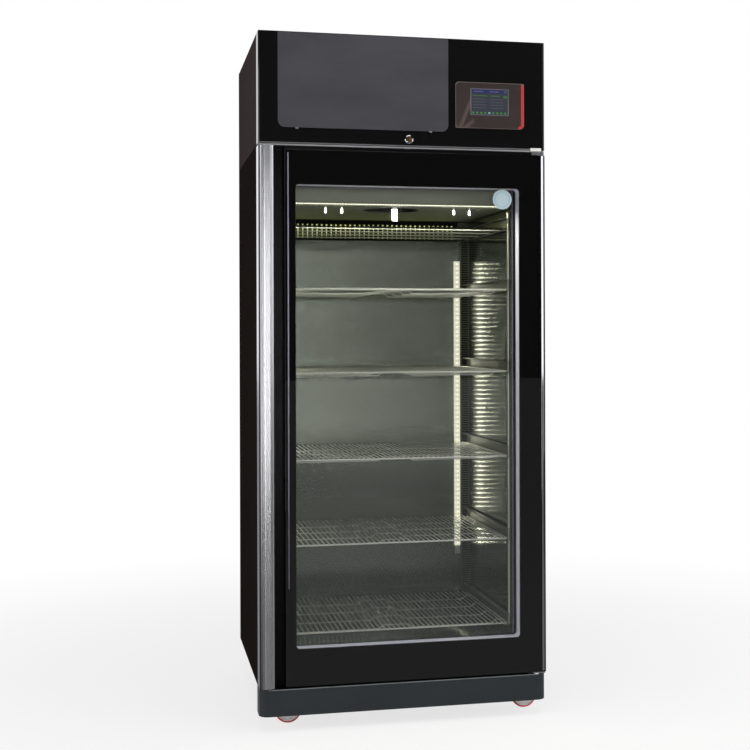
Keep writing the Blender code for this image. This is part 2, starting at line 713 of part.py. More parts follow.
def door_frame_mesh():
    """Frame with its finger recess, glass nose, window, rear rebate and hinge bores."""
    left = -HALF_WIDTH + GRIP_SHEET + SEAT_GAP
    plan = [(left, DOOR_BACK_Y), (left, RECESS_Y), (GLASS_LEFT, RECESS_Y), (GLASS_LEFT, FRAME_FRONT_Y),
            (GLASS_RIGHT + SEAT_GAP, FRAME_FRONT_Y), (GLASS_RIGHT + SEAT_GAP, FACE_Y),
            (HALF_WIDTH - NOSE_CHAMFER, FACE_Y), (HALF_WIDTH, FACE_Y + NOSE_CHAMFER), (HALF_WIDTH, DOOR_BACK_Y)]
    head_nose = block((GLASS_LEFT, FACE_Y, DOOR_TOP - HEAD_NOSE),
                      (GLASS_RIGHT + SEAT_GAP + FUSE_OVERLAP, FRAME_FRONT_Y + FUSE_OVERLAP, DOOR_TOP))
    margin = SPACER_WALL + SEAT_GAP
    window = prism(window_outline(margin), FACE_Y - CUT_OVERRUN, BACK_Y, "Y")
    lap = INNER_GLASS_LAP + SEAT_GAP
    rebate = prism(window_outline(lap), REBATE_Y, BACK_Y, "Y")
    groove_right = GLASS_LEFT - GROOVE_EDGE
    groove = block((groove_right - GROOVE_WIDTH, RECESS_Y - CUT_OVERRUN, DOOR_BOTTOM + GROOVE_END_INSET),
                   (groove_right, RECESS_Y + GROOVE_DEPTH, DOOR_TOP - GROOVE_END_INSET))
    notch_left = BRACKET_LEFT - NOTCH_CLEARANCE
    notch_floor = DOOR_TOP - KNUCKLE_DROP
    notch = block((notch_left, FACE_Y - CUT_OVERRUN, notch_floor),
                  (HALF_WIDTH + CUT_OVERRUN, DOOR_BACK_Y + CUT_OVERRUN, DOOR_TOP + CUT_OVERRUN))
    bore_radius = PIN_RADIUS + PIN_PLAY
    bores = [disc(bore_radius, DOOR_BOTTOM - CUT_OVERRUN, DOOR_BOTTOM + PIN_LENGTH, (HINGE_X, HINGE_Y, 0)),
             disc(bore_radius, notch_floor - PIN_LENGTH, DOOR_TOP + CUT_OVERRUN, (HINGE_X, HINGE_Y, 0))]
    return joined(prism(plan, DOOR_BOTTOM, DOOR_TOP), adds=[head_nose],
                  cuts=[window, rebate, groove, notch, *bores])


def grip_mesh():
    """The full-height aluminium grip: a side wall, a shoulder, a brushed face and a nose over the recess."""
    left, right = -HALF_WIDTH, -HALF_WIDTH + GRIP_WIDTH
    front = FACE_Y - GRIP_PROUD
    sheet = GRIP_SHEET
    outside = [(left, DOOR_BACK_Y), (left, front + GRIP_SHOULDER), (left + GRIP_FACE_START, front),
               (right - GRIP_NOSE_WIDTH, front), (right, front + GRIP_NOSE_DROP)]
    inside = [(right - sheet / 2, front + GRIP_NOSE_DROP + sheet), (right - GRIP_NOSE_WIDTH, front + sheet),
              (left + GRIP_FACE_START + sheet / 2, front + sheet), (left + sheet, front + GRIP_SHOULDER + sheet / 2),
              (left + sheet, DOOR_BACK_Y)]
    return prism(outside + inside, DOOR_BOTTOM - GRIP_END_OVERHANG, DOOR_TOP + GRIP_END_OVERHANG)


def gasket_mesh():
    """The seal's ring, wide at the door and narrower at the lip that meets the trim."""
    side = (CAVITY_HALF + HALF_WIDTH) / 2
    bottom = (CASE_BOTTOM + CAVITY_FLOOR) / 2
    top = (CASE_TOP + CAVITY_CEILING) / 2

    def ring(inset, start, end):
        half = GASKET_WIDTH / 2 - inset
        outer = rounded_outline((-side - half, bottom - half), (side + half, top + half), (0, 0, 0, 0))
        inner = rounded_outline((-side + half, bottom + half), (side - half, top - half), (0, 0, 0, 0))
        return prism(outer, start, end, "Y", [inner])

    root, tip = DOOR_BACK_Y + SEAT_GAP, TRIM_Y - SEAT_GAP
    step = (root + tip) / 2
    return joined(ring(0, root, step), adds=[ring(GASKET_LIP, step - FUSE_OVERLAP, tip)])


def build_door(axis, glass, black, aluminium, spacer_metal, seal, zinc):
    """The hinged door and everything that swings with it."""
    pane = rounded_outline((GLASS_LEFT, DOOR_BOTTOM), (GLASS_RIGHT, DOOR_TOP - HEAD_NOSE - SEAT_GAP),
                           (GLASS_CORNER, GLASS_CORNER, 0, GLASS_CORNER), 2)
    piece("outer_glass", prism(pane, FACE_Y, FACE_Y + GLASS_THICKNESS, "Y"), glass, axis)
    inner = window_outline(INNER_GLASS_LAP)
    piece("inner_glass", prism(inner, DOOR_BACK_Y - GLASS_THICKNESS, DOOR_BACK_Y, "Y"), glass, axis)
    piece("door_frame", door_frame_mesh(), black, axis)
    spacer = prism(window_outline(SPACER_WALL), FRAME_FRONT_Y, REBATE_Y, "Y", [window_outline(0)])
    piece("glazing_spacer", spacer, spacer_metal, axis)
    piece("door_gasket", gasket_mesh(), seal, axis)
    piece("door_handle", grip_mesh(), aluminium, axis)

    left = LOCK_OFFSET - STRIKE_WIDTH / 2
    channel_y = FACE_Y + CAM_INSET - (STRIKE_CHANNEL - CAM_THICKNESS) / 2
    base = DOOR_TOP + SEAT_GAP
    keeper = block((left, channel_y - STRIKE_WALL, base),
                   (left + STRIKE_WIDTH, channel_y + STRIKE_CHANNEL + STRIKE_WALL, base + STRIKE_HEIGHT))
    channel = block((left - CUT_OVERRUN, channel_y, base + STRIKE_BASE),
                    (left + STRIKE_WIDTH + CUT_OVERRUN, channel_y + STRIKE_CHANNEL, base + CUT_OVERRUN))
    piece("lock_strike", joined(keeper, cuts=[channel]), zinc, axis)


def build_hinges(zinc):
    """The two pivot brackets that stay on the cabinet, each with its pin."""
    front = FACE_Y + HINGE_FRONT_INSET
    knuckle_bottom = DOOR_TOP - KNUCKLE_DROP + HINGE_RUNNING_GAP
    plate_bottom = DOOR_TOP + HINGE_RUNNING_GAP
    plate_top = plate_bottom + HINGE_PLATE
    flange_y = BRACKET_BACK_Y - HINGE_PLATE
    flange_right = BRACKET_LEFT + HINGE_FLANGE_WIDTH
    side_view = [(front, knuckle_bottom), (front + KNUCKLE_DEPTH, knuckle_bottom),
                 (front + KNUCKLE_DEPTH, plate_bottom), (BRACKET_BACK_Y, plate_bottom),
                 (BRACKET_BACK_Y, plate_top), (front, plate_top)]
    pin = disc(PIN_RADIUS, knuckle_bottom - PIN_LENGTH + HINGE_RUNNING_GAP, knuckle_bottom + FUSE_OVERLAP,
               (HINGE_X, HINGE_Y, 0))
    flange = block((BRACKET_LEFT, flange_y, plate_top - FUSE_OVERLAP),
                   (flange_right, BRACKET_BACK_Y, plate_top + HINGE_FLANGE_HEIGHT))
    top = joined(prism(side_view, BRACKET_LEFT, BRACKET_RIGHT, "X"), adds=[flange, pin])
    piece("hinge_bracket_top", top, zinc)

    foot_top = DOOR_BOTTOM - HINGE_RUNNING_GAP
    foot_bottom = foot_top - HINGE_PLATE
    plate = block((BRACKET_LEFT, front, foot_bottom), (BRACKET_RIGHT, BRACKET_BACK_Y, foot_top))
    flange = block((BRACKET_LEFT, flange_y, foot_top - HINGE_FOOT_HEIGHT),
                   (flange_right, BRACKET_BACK_Y, foot_bottom + FUSE_OVERLAP))
    foot_pin = disc(PIN_RADIUS, foot_top - FUSE_OVERLAP, foot_top + PIN_LENGTH, (HINGE_X, HINGE_Y, 0))
    piece("hinge_bracket_bottom", joined(plate, adds=[flange, foot_pin]), zinc)


# Header

def header_mesh():
    """The header's front pan, with the lock's hole and the slot that its tongue drops through."""
    plan = rounded_outline((-HALF_WIDTH, FACE_Y), (HALF_WIDTH, FACE_Y + HEADER_PAN_DEPTH),
                           (HEADER_CORNER, HEADER_CORNER, 0, 0))
    sheet = HEADER_SHEET
    inner = rounded_outline((-HALF_WIDTH + sheet, FACE_Y + sheet),
                            (HALF_WIDTH - sheet, FACE_Y + HEADER_PAN_DEPTH + CUT_OVERRUN),
                            (HEADER_CORNER - sheet, HEADER_CORNER - sheet, 0, 0))
    hollow = prism(inner, CASE_TOP + sheet, OVERALL_HEIGHT - sheet)
    hole = disc(LOCK_BODY_RADIUS + LOCK_HOLE_PLAY, FACE_Y - CUT_OVERRUN, FACE_Y + CUT_OVERRUN / 2,
                (LOCK_OFFSET, 0, LOCK_Z), "Y", ROUND_FACETS)
    reach = LOCK_Z - DOOR_TOP
    slot = block((LOCK_OFFSET - CAM_WIDTH / 2 - CAM_SLOT_CLEARANCE, FACE_Y + CAM_INSET - CAM_SLOT_CLEARANCE,
                  CASE_TOP - CUT_OVERRUN / 2),
                 (LOCK_OFFSET + reach + CAM_SLOT_CLEARANCE, FACE_Y + CAM_INSET + CAM_THICKNESS + CAM_SLOT_CLEARANCE,
                  CASE_TOP + sheet * 2))
    return joined(prism(plan, CASE_TOP, OVERALL_HEIGHT), cuts=[hollow, hole, slot])


def build_header(paint, panel_paint, zinc):
    """Front pan, side panels, deck and rear grille of the machine compartment."""
    piece("header_front", header_mesh(), paint)
    sheet, flange = HEADER_SHEET, SIDE_FLANGE
    bottom, top = CASE_TOP + SEAT_GAP, OVERALL_HEIGHT
    for name, side in (("header_side_left", -1), ("header_side_right", 1)):
        outer, lip = side * HALF_WIDTH, side * (HALF_WIDTH - flange)
        inner = side * (HALF_WIDTH - sheet)
        channel = [(outer, bottom), (lip, bottom), (lip, bottom + sheet), (inner, bottom + sheet),
                   (inner, top - sheet), (lip, top - sheet), (lip, top), (outer, top)]
        piece(name, prism(channel, FACE_Y + HEADER_PAN_DEPTH + SEAT_GAP, BACK_Y, "Y"), panel_paint)

    deck_half = HALF_WIDTH - flange - SEAT_GAP
    grille_y = BACK_Y - GRILLE_INSET - GRILLE_SHEET
    side_view = [(TRIM_Y, bottom), (BACK_Y - GRILLE_INSET, bottom), (BACK_Y - GRILLE_INSET, DECK_TOP),
                 (TRIM_Y + DECK_SHEET, DECK_TOP), (TRIM_Y + DECK_SHEET, DECK_TOP + DECK_UPSTAND),
                 (TRIM_Y, DECK_TOP + DECK_UPSTAND)]
    piece("machine_deck", prism(side_view, -deck_half, deck_half, "X"), zinc)

    half = HALF_WIDTH - sheet - SEAT_GAP
    low, high = DECK_TOP + SEAT_GAP, OVERALL_HEIGHT - sheet - SEAT_GAP
    outline = rounded_outline((-half, low), (half, high), (0, 0, 0, 0))
    slots = []
    first = (low + high) / 2 - GRILLE_SLOT_PITCH * (GRILLE_ROWS - 1) / 2
    for row in range(GRILLE_ROWS):
        middle = first + GRILLE_SLOT_PITCH * row
        for left, right in ((-half + GRILLE_MARGIN, -GRILLE_SPINE / 2), (GRILLE_SPINE / 2, half - GRILLE_MARGIN)):
            slots.append(rounded_outline((left, middle - GRILLE_SLOT_HEIGHT / 2),
                                         (right, middle + GRILLE_SLOT_HEIGHT / 2), (0, 0, 0, 0)))
    play = SEAT_GAP
    inlet_z = DECK_TOP + INLET_RISE
    slots.append(rounded_outline((INLET_X - INLET_BODY_WIDTH / 2 - play, inlet_z - INLET_BODY_HEIGHT / 2 - play),
                                 (INLET_X + INLET_BODY_WIDTH / 2 + play, inlet_z + INLET_BODY_HEIGHT / 2 + play),
                                 (0, 0, 0, 0)))
    piece("rear_grille", prism(outline, grille_y, grille_y + GRILLE_SHEET, "Y", slots), panel_paint)


def build_front_fittings(slate, bezel_paint, screen_glass, black):
    """Chalkboard, display and the control box behind it."""
    right = HALF_WIDTH - BEZEL_RIGHT_INSET
    left = -HALF_WIDTH + BOARD_LEFT_INSET
    top = OVERALL_HEIGHT - BOARD_TOP_INSET
    corners = (BOARD_CORNER, BOARD_CORNER, BOARD_TOP_CORNER, BOARD_TOP_CORNER)
    board = rounded_outline((left, top - BOARD_HEIGHT), (right - BEZEL_WIDTH - BOARD_GAP, top), corners)
    back = FACE_Y - SEAT_GAP
    piece("chalkboard", prism(board, back - BOARD_THICKNESS, back, "Y"), slate)

    bottom = CASE_TOP + BEZEL_RISE
    radii = (BEZEL_SMALL_CORNER, BEZEL_CORNER, BEZEL_SMALL_CORNER, BEZEL_CORNER)
    plate = rounded_outline((right - BEZEL_WIDTH, bottom), (right, bottom + BEZEL_HEIGHT), radii)
    screen_left = right - BEZEL_WIDTH + SCREEN_LEFT_INSET
    screen_bottom = bottom + SCREEN_RISE
    front = back - BEZEL_THICKNESS
    play = SEAT_GAP
    pocket = block((screen_left - play, front - CUT_OVERRUN, screen_bottom - play),
                   (screen_left + SCREEN_WIDTH + play, front + SCREEN_POCKET, screen_bottom + SCREEN_HEIGHT + play))
    piece("display_bezel", joined(prism(plate, front, back, "Y"), cuts=[pocket]), bezel_paint)
    seat = front + SCREEN_POCKET - SEAT_GAP
    piece("display_screen", block((screen_left, seat - SCREEN_THICKNESS, screen_bottom),
                                  (screen_left + SCREEN_WIDTH, seat, screen_bottom + SCREEN_HEIGHT)), screen_glass)

    box_front = FACE_Y + HEADER_SHEET + SEAT_GAP
    box_left, box_right = right - BEZEL_WIDTH + CONTROL_MARGIN, right - CONTROL_MARGIN
    step = (box_right - box_left) / CONTROL_GROOVES
    outline = [(box_left, box_front), (box_right, box_front)]
    box_back = box_front + CONTROL_DEPTH
    for index in range(CONTROL_GROOVES):
        edge = box_right - step * index
        outline += [(edge, box_back), (edge - step / 2, box_back), (edge - step / 2, box_back - CONTROL_GROOVE),
                    (edge - step + CONTROL_GROOVE, box_back - CONTROL_GROOVE)]
    outline.append((box_left, box_back - CONTROL_GROOVE))
    piece("control_box", prism(outline, bottom + CONTROL_MARGIN, bottom + BEZEL_HEIGHT - CONTROL_MARGIN), black)


def build_lock(axis, chrome, brass):
    """The fixed lock housing and the barrel that turns its tongue down behind the strike."""
    bore = LOCK_BARREL_RADIUS + LOCK_BARREL_PLAY
    nut_start = HEADER_SHEET + SEAT_GAP
    flange_back = -SEAT_GAP
    profile = [(bore, flange_back - LOCK_FLANGE_PROUD), (LOCK_FLANGE_RADIUS, flange_back - LOCK_FLANGE_PROUD),
               (LOCK_FLANGE_RADIUS, flange_back), (LOCK_BODY_RADIUS, flange_back), (LOCK_BODY_RADIUS, nut_start),
               (LOCK_NUT_RADIUS, nut_start), (LOCK_NUT_RADIUS, nut_start + LOCK_NUT_THICKNESS),
               (LOCK_BODY_RADIUS, nut_start + LOCK_NUT_THICKNESS), (LOCK_BODY_RADIUS, LOCK_BODY_DEPTH),
               (bore, LOCK_BODY_DEPTH)]
    piece("lock_housing", lathe(profile, (LOCK_OFFSET, FACE_Y, LOCK_Z), "Y"), chrome, smooth=True)

    face = FACE_Y - LOCK_FLANGE_PROUD - LOCK_BARREL_PROUD
    cam_front = FACE_Y + CAM_INSET
    barrel = disc(LOCK_BARREL_RADIUS, face, cam_front + FUSE_OVERLAP, (LOCK_OFFSET, 0, LOCK_Z), "Y")
    tip_reach = LOCK_Z - DOOR_TOP - SEAT_GAP - STRIKE_BASE - CAM_TIP_CLEARANCE
    half = CAM_WIDTH / 2
    tongue = [(LOCK_OFFSET - half, LOCK_Z + half), (LOCK_OFFSET - half, LOCK_Z - half),
              (LOCK_OFFSET + tip_reach - half, LOCK_Z - half)]
    for step in range(1, CORNER_FACETS):
        angle = -math.pi / 2 + math.pi * step / CORNER_FACETS
        tongue.append((LOCK_OFFSET + tip_reach - half + half * math.cos(angle), LOCK_Z + half * math.sin(angle)))
    tongue.append((LOCK_OFFSET + tip_reach - half, LOCK_Z + half))
    cam = prism(tongue, cam_front, cam_front + CAM_THICKNESS, "Y")
    keyway = block((LOCK_OFFSET - KEYWAY_WIDTH / 2, face - CUT_OVERRUN, LOCK_Z - KEYWAY_HEIGHT / 2),
                   (LOCK_OFFSET + KEYWAY_WIDTH / 2, face + KEYWAY_DEPTH, LOCK_Z + KEYWAY_HEIGHT / 2))
    piece("lock_barrel", joined(barrel, adds=[cam], cuts=[keyway]), brass, axis, smooth=True)


# Condensing unit

def blade_mesh(root, tip, chord, sheet):
    """One fan blade along +X about the Z axis, twisted from root to tip and cambered."""
    bm = bmesh.new()
    bmesh.ops.create_grid(bm, x_segments=2, y_segments=2, size=0.5)
    for corner in bm.verts:
        share = corner.co.x + 0.5
        across = corner.co.y * chord
        pitch = FAN_ROOT_PITCH + (FAN_TIP_PITCH - FAN_ROOT_PITCH) * share
        lift = FAN_CAMBER * (1 - (2 * corner.co.y) ** 2)
        corner.co = (root + (tip - root) * share,
                     across * math.cos(pitch) - lift * math.sin(pitch),
                     across * math.sin(pitch) + lift * math.cos(pitch))
    bmesh.ops.recalc_face_normals(bm, faces=bm.faces)
    bmesh.ops.solidify(bm, geom=bm.faces[:], thickness=sheet)
    return mesh_of(bm)


def fan_mesh(hub_radius, hub_length, tip_radius, chord):
    """A fan about the Z axis with its hub centred on the origin and a blind shaft bore in its upper end."""
    half = hub_length / 2
    hub = disc(hub_radius, -half, half, (0, 0, 0), facets=SMALL_FACETS)
    blades = []
    for index in range(FAN_BLADES):
        blade = blade_mesh(hub_radius * 0.8, tip_radius, chord, FAN_SHEET)
        blade.transform(Matrix.Rotation(math.tau * index / FAN_BLADES, 4, "Z"))
        blades.append(blade)
    bore = disc(SHAFT_RADIUS + SHAFT_PLAY, half - SHAFT_LENGTH, half + CUT_OVERRUN, (0, 0, 0))
    return joined(hub, adds=blades, cuts=[bore])


def build_condensing_unit(fan_axis, black, aluminium, zinc, plastic, copper):
    """Compressor, finned condenser, shrouded fan on its spider, pipes and mains inlet."""
    base = DECK_TOP + SEAT_GAP
    centre_x, centre_y = COMPRESSOR_X, FACE_Y + COMPRESSOR_INSET
    plate_top = base + FOOT_HEIGHT + FOOT_PLATE
    radius, height = COMPRESSOR_RADIUS, COMPRESSOR_HEIGHT
    seam = height * 0.55
    can = [(0, height), (radius * 0.45, height * 0.97), (radius * 0.8, height * 0.86), (radius * 0.96, height * 0.7),
           (radius, seam + COMPRESSOR_FLANGE), (radius + COMPRESSOR_FLANGE, seam + COMPRESSOR_FLANGE),
           (radius + COMPRESSOR_FLANGE, seam), (radius, seam), (radius * 0.98, height * 0.2), (radius * 0.8, 0), (0, 0)]
    shell = lathe(can, (centre_x, centre_y, plate_top - FUSE_OVERLAP))
    margin = FOOT_PLATE_MARGIN
    plate = block((centre_x - FOOT_SPREAD_X - margin, centre_y - FOOT_SPREAD_Y - margin, base + FOOT_HEIGHT),
                  (centre_x + FOOT_SPREAD_X + margin, centre_y + FOOT_SPREAD_Y + margin, plate_top))
    feet = [disc(FOOT_RADIUS, base, base + FOOT_HEIGHT + FUSE_OVERLAP,
                 (centre_x + side_x * FOOT_SPREAD_X, centre_y + side_y * FOOT_SPREAD_Y, 0), facets=12)
            for side_x in (-1, 1) for side_y in (-1, 1)]
    terminal = block((centre_x - TERMINAL_WIDTH / 2, centre_y - radius - TERMINAL_PROUD, plate_top + margin),
                     (centre_x + TERMINAL_WIDTH / 2, centre_y - radius / 2, plate_top + margin + TERMINAL_HEIGHT))
    stub_top = plate_top + height
    stubs = [disc(STUB_RADIUS, plate_top + height * 0.7, stub_top + STUB_HEIGHT,
                  (centre_x + STUB_OFFSET, centre_y + side * STUB_OFFSET / 2, 0), facets=12) for side in (-1, 1)]
    piece("compressor", joined(shell, adds=[plate, *feet, terminal, *stubs]), black, smooth=True)

    coil_front = FACE_Y + COIL_INSET
    fins = comb_outline(COIL_LEFT, COIL_RIGHT, coil_front, coil_front + COIL_DEPTH,
                        FIN_PITCH, FIN_CUT_DEPTH)
    piece("condenser_coil", prism(fins, base, base + COIL_HEIGHT), aluminium)

    fan_x, fan_z = COIL_MIDDLE, base + COIL_HEIGHT / 2
    plate_back = coil_front - SEAT_GAP
    plate_front = plate_back - SHROUD_SHEET
    outline = rounded_outline((COIL_LEFT, base), (COIL_RIGHT, base + COIL_HEIGHT), (0, 0, 0, 0))
    hole = circle((fan_x, fan_z), SHROUD_HOLE_RADIUS)
    collar = prism(circle((fan_x, fan_z), SHROUD_HOLE_RADIUS + SHROUD_COLLAR_WALL),
                   plate_front - SHROUD_COLLAR, plate_front + SHROUD_SHEET / 2, "Y", [hole])
    shroud = joined(prism(outline, plate_front, plate_back, "Y", [hole]), adds=[collar])
    piece("fan_shroud", shroud, zinc)

    hub_front = FACE_Y + FAN_HUB_INSET
    fan = fan_mesh(FAN_HUB_RADIUS, FAN_HUB_LENGTH, SHROUD_HOLE_RADIUS - FAN_TIP_GAP, FAN_CHORD)
    fan.transform(Matrix.Rotation(math.pi / 2, 4, "X"))
    fan_item = piece("condenser_fan", fan, plastic, smooth=True)
    fan_item.parent = fan_axis
    fan_item.location = (0, hub_front + FAN_HUB_LENGTH / 2 - fan_axis.location.y, 0)

    motor_back = hub_front - MOTOR_FAN_GAP
    motor = [(0, 0), (SHAFT_RADIUS, 0), (SHAFT_RADIUS, -SHAFT_LENGTH), (MOTOR_RADIUS - MOTOR_SHOULDER, -SHAFT_LENGTH),
             (MOTOR_RADIUS, -SHAFT_LENGTH - MOTOR_SHOULDER), (MOTOR_RADIUS, -SHAFT_LENGTH - MOTOR_LENGTH),
             (0, -SHAFT_LENGTH - MOTOR_LENGTH)]
    shaft_end = motor_back + SHAFT_LENGTH - SEAT_GAP
    body = lathe(motor[::-1], (fan_x, shaft_end, fan_z), "Y", SMALL_FACETS)
    arm_back = motor_back - MOTOR_SHOULDER
    arm_view = [(MOTOR_RADIUS / 2, arm_back - SPIDER_SHEET), (SPIDER_REACH, arm_back - SPIDER_SHEET),
                (SPIDER_REACH, plate_front - SEAT_GAP), (SPIDER_REACH - SPIDER_FOOT, plate_front - SEAT_GAP),
                (SPIDER_REACH - SPIDER_FOOT, arm_back), (MOTOR_RADIUS / 2, arm_back)]
    arms = []
    for index in range(SPIDER_ARMS):
        arm = prism(arm_view, -SPIDER_WIDTH / 2, SPIDER_WIDTH / 2)
        turn = Matrix.Rotation(math.tau * (index + 0.5) / SPIDER_ARMS, 4, "Y")
        arm.transform(Matrix.Translation((fan_x, 0, fan_z)) @ turn)
        arms.append(arm)
    piece("fan_motor", joined(body, adds=arms), black, smooth=True)

    rise = stub_top + STUB_HEIGHT + SEAT_GAP
    start_x = centre_x + STUB_OFFSET
    suction_y, discharge_y = centre_y - STUB_OFFSET / 2, centre_y + STUB_OFFSET / 2
    deck_x, deck_y = centre_x + PIPE_DECK_OFFSET_X, centre_y - PIPE_DECK_OFFSET_Y
    pipe("suction_line", [(start_x, suction_y, rise), (start_x, suction_y, rise + PIPE_RISE / 3),
                          ((start_x + deck_x) / 2, (suction_y + deck_y) / 2, rise + PIPE_RISE),
                          (deck_x, deck_y, rise - PIPE_RISE), (deck_x, deck_y, base)], copper)
    coil_entry_z = base + COIL_HEIGHT * 0.8
    coil_entry_y = coil_front + COIL_DEPTH / 2
    entry_x = COIL_LEFT - SEAT_GAP
    pipe("discharge_line", [(start_x, discharge_y, rise), (start_x, discharge_y, rise + PIPE_RISE / 3),
                            ((start_x + entry_x) / 2, coil_entry_y, rise + PIPE_RISE / 2),
                            (entry_x - PIPE_RISE / 2, coil_entry_y, coil_entry_z),
                            (entry_x, coil_entry_y, coil_entry_z)], copper)

    grille_back = BACK_Y - GRILLE_INSET
    middle = Vector((INLET_X, 0, DECK_TOP + INLET_RISE))
    flange_front = grille_back + SEAT_GAP
    flange = block((middle.x - INLET_WIDTH / 2, flange_front, middle.z - INLET_HEIGHT / 2),
                   (middle.x + INLET_WIDTH / 2, flange_front + INLET_FLANGE, middle.z + INLET_HEIGHT / 2))
    body_half_x, body_half_z = INLET_BODY_WIDTH / 2, INLET_BODY_HEIGHT / 2
    body = block((middle.x - body_half_x, flange_front - INLET_BODY_DEPTH, middle.z - body_half_z),
                 (middle.x + body_half_x, flange_front + FUSE_OVERLAP, middle.z + body_half_z))
    wall = INLET_SOCKET_MARGIN
    socket = block((middle.x - body_half_x + wall, flange_front + INLET_FLANGE - INLET_SOCKET_DEPTH,
                    middle.z - body_half_z + wall),
                   (middle.x + body_half_x - wall, BACK_Y + CUT_OVERRUN, middle.z + body_half_z - wall))
    piece("power_inlet", joined(flange, adds=[body], cuts=[socket]), plastic)


def pipe(name, points, material):
    """A smooth round tube through a few points, straight at both ends."""
    curve = bpy.data.curves.new(name, "CURVE")
    curve.dimensions = "3D"
    curve.bevel_depth = PIPE_RADIUS
    curve.bevel_resolution = 2
    curve.use_fill_caps = True
    route = smooth_route([Vector(point) for point in points])
    spline = curve.splines.new("POLY")
    spline.points.add(len(route) - 1)
    for target, place in zip(spline.points, route):
        target.co = (*place, 1)
    curve.materials.append(material)
    bpy.context.scene.collection.objects.link(bpy.data.objects.new(name, curve))


def smooth_route(points):
    """A Catmull-Rom curve through the points, whose first and last stretches stay straight."""
    route = [points[0]]
    for index in range(1, len(points) - 2):
        before, start, end, after = points[index - 1:index + 3]
        for step in range(PIPE_STEPS + 1):
            t = step / PIPE_STEPS
            route.append(0.5 * (2 * start + (end - before) * t
                                + (2 * before - 5 * start + 4 * end - after) * t ** 2
                                + (3 * start - before - 3 * end + after) * t ** 3))
        if index < len(points) - 3:
            route.pop()
    return route + [points[-1]]


# Ceiling air unit

def build_air_unit(fan_axis, stainless, aluminium, plastic, white):
    """Cover with its intake and outlet slots, coil in its tray, motor, fan and air probe."""
    low = (-COVER_HALF, COVER_FRONT_Y, COVER_BOTTOM)
    high = (COVER_HALF, COVER_BACK_Y, CAVITY_CEILING - SEAT_GAP)
    intake_y = FACE_Y + INTAKE_INSET
    intake = disc(INTAKE_RADIUS, COVER_BOTTOM - CUT_OVERRUN, COVER_BOTTOM + CUT_OVERRUN, (0, intake_y, 0),
                  facets=ROUND_FACETS)
    step = COVER_HALF * 2 / COVER_SLOTS
    outlets = []
    for index in range(COVER_SLOTS):
        middle = -COVER_HALF + step * (index + 0.5)
        half = step * COVER_SLOT_SHARE / 2
        outlets.append(block((middle - half, COVER_BACK_Y - CUT_OVERRUN, COVER_BOTTOM + COVER_SLOT_RISE),
                             (middle + half, COVER_BACK_Y + CUT_OVERRUN,
                              COVER_BOTTOM + COVER_SLOT_RISE + COVER_SLOT_HEIGHT)))
    cover = joined(open_box(low, high, COVER_SHEET, "+Z"), cuts=[intake, *outlets])
    piece("evaporator_cover", cover, stainless)

    tray_bottom = COVER_BOTTOM + COVER_SHEET + SEAT_GAP
    coil_front = intake_y + INTAKE_RADIUS + AIR_COIL_FAN_GAP
    coil_back = COVER_BACK_Y - AIR_COIL_BACK_GAP
    margin = TRAY_MARGIN
    tray = open_box((-AIR_COIL_HALF - margin, coil_front - margin, tray_bottom),
                    (AIR_COIL_HALF + margin, coil_back + margin, tray_bottom + TRAY_HEIGHT), TRAY_SHEET, "+Z")
    piece("drip_tray", tray, stainless)
    fins = comb_outline(-AIR_COIL_HALF, AIR_COIL_HALF, coil_front, coil_back, FIN_PITCH, FIN_CUT_DEPTH)
    piece("evaporator_coil", prism(fins, tray_bottom + TRAY_SHEET + SEAT_GAP, CAVITY_CEILING - AIR_COIL_HEAD_GAP),
          aluminium)

    top = CAVITY_CEILING - SEAT_GAP
    profile = [(0, 0), (AIR_MOTOR_FLANGE, 0), (AIR_MOTOR_FLANGE, -AIR_MOTOR_PLATE),
               (AIR_MOTOR_RADIUS, -AIR_MOTOR_PLATE), (AIR_MOTOR_RADIUS, -AIR_MOTOR_LENGTH),
               (SHAFT_RADIUS, -AIR_MOTOR_LENGTH), (SHAFT_RADIUS, -AIR_MOTOR_LENGTH - SHAFT_LENGTH),
               (0, -AIR_MOTOR_LENGTH - SHAFT_LENGTH)]
    piece("evaporator_motor", lathe(profile, (0, intake_y, top), "Z", SMALL_FACETS), plastic, smooth=True)
    fan = fan_mesh(AIR_HUB_RADIUS, AIR_HUB_LENGTH, AIR_FAN_RADIUS, AIR_FAN_CHORD)
    fan_item = piece("evaporator_fan", fan, plastic, smooth=True)
    fan_item.parent = fan_axis
    hub_top = top - AIR_MOTOR_LENGTH - MOTOR_FAN_GAP
    fan_item.location = (0, 0, hub_top - AIR_HUB_LENGTH / 2 - fan_axis.location.z)

    probe_y = FACE_Y + PROBE_INSET
    outline = rounded_outline((-PROBE_LEFT, probe_y), (-PROBE_LEFT + PROBE_WIDTH, probe_y + PROBE_DEPTH),
                              (PROBE_CORNER,) * 4, 2)
    piece("air_probe", prism(outline, COVER_BOTTOM - SEAT_GAP - PROBE_LENGTH, COVER_BOTTOM - SEAT_GAP), white)


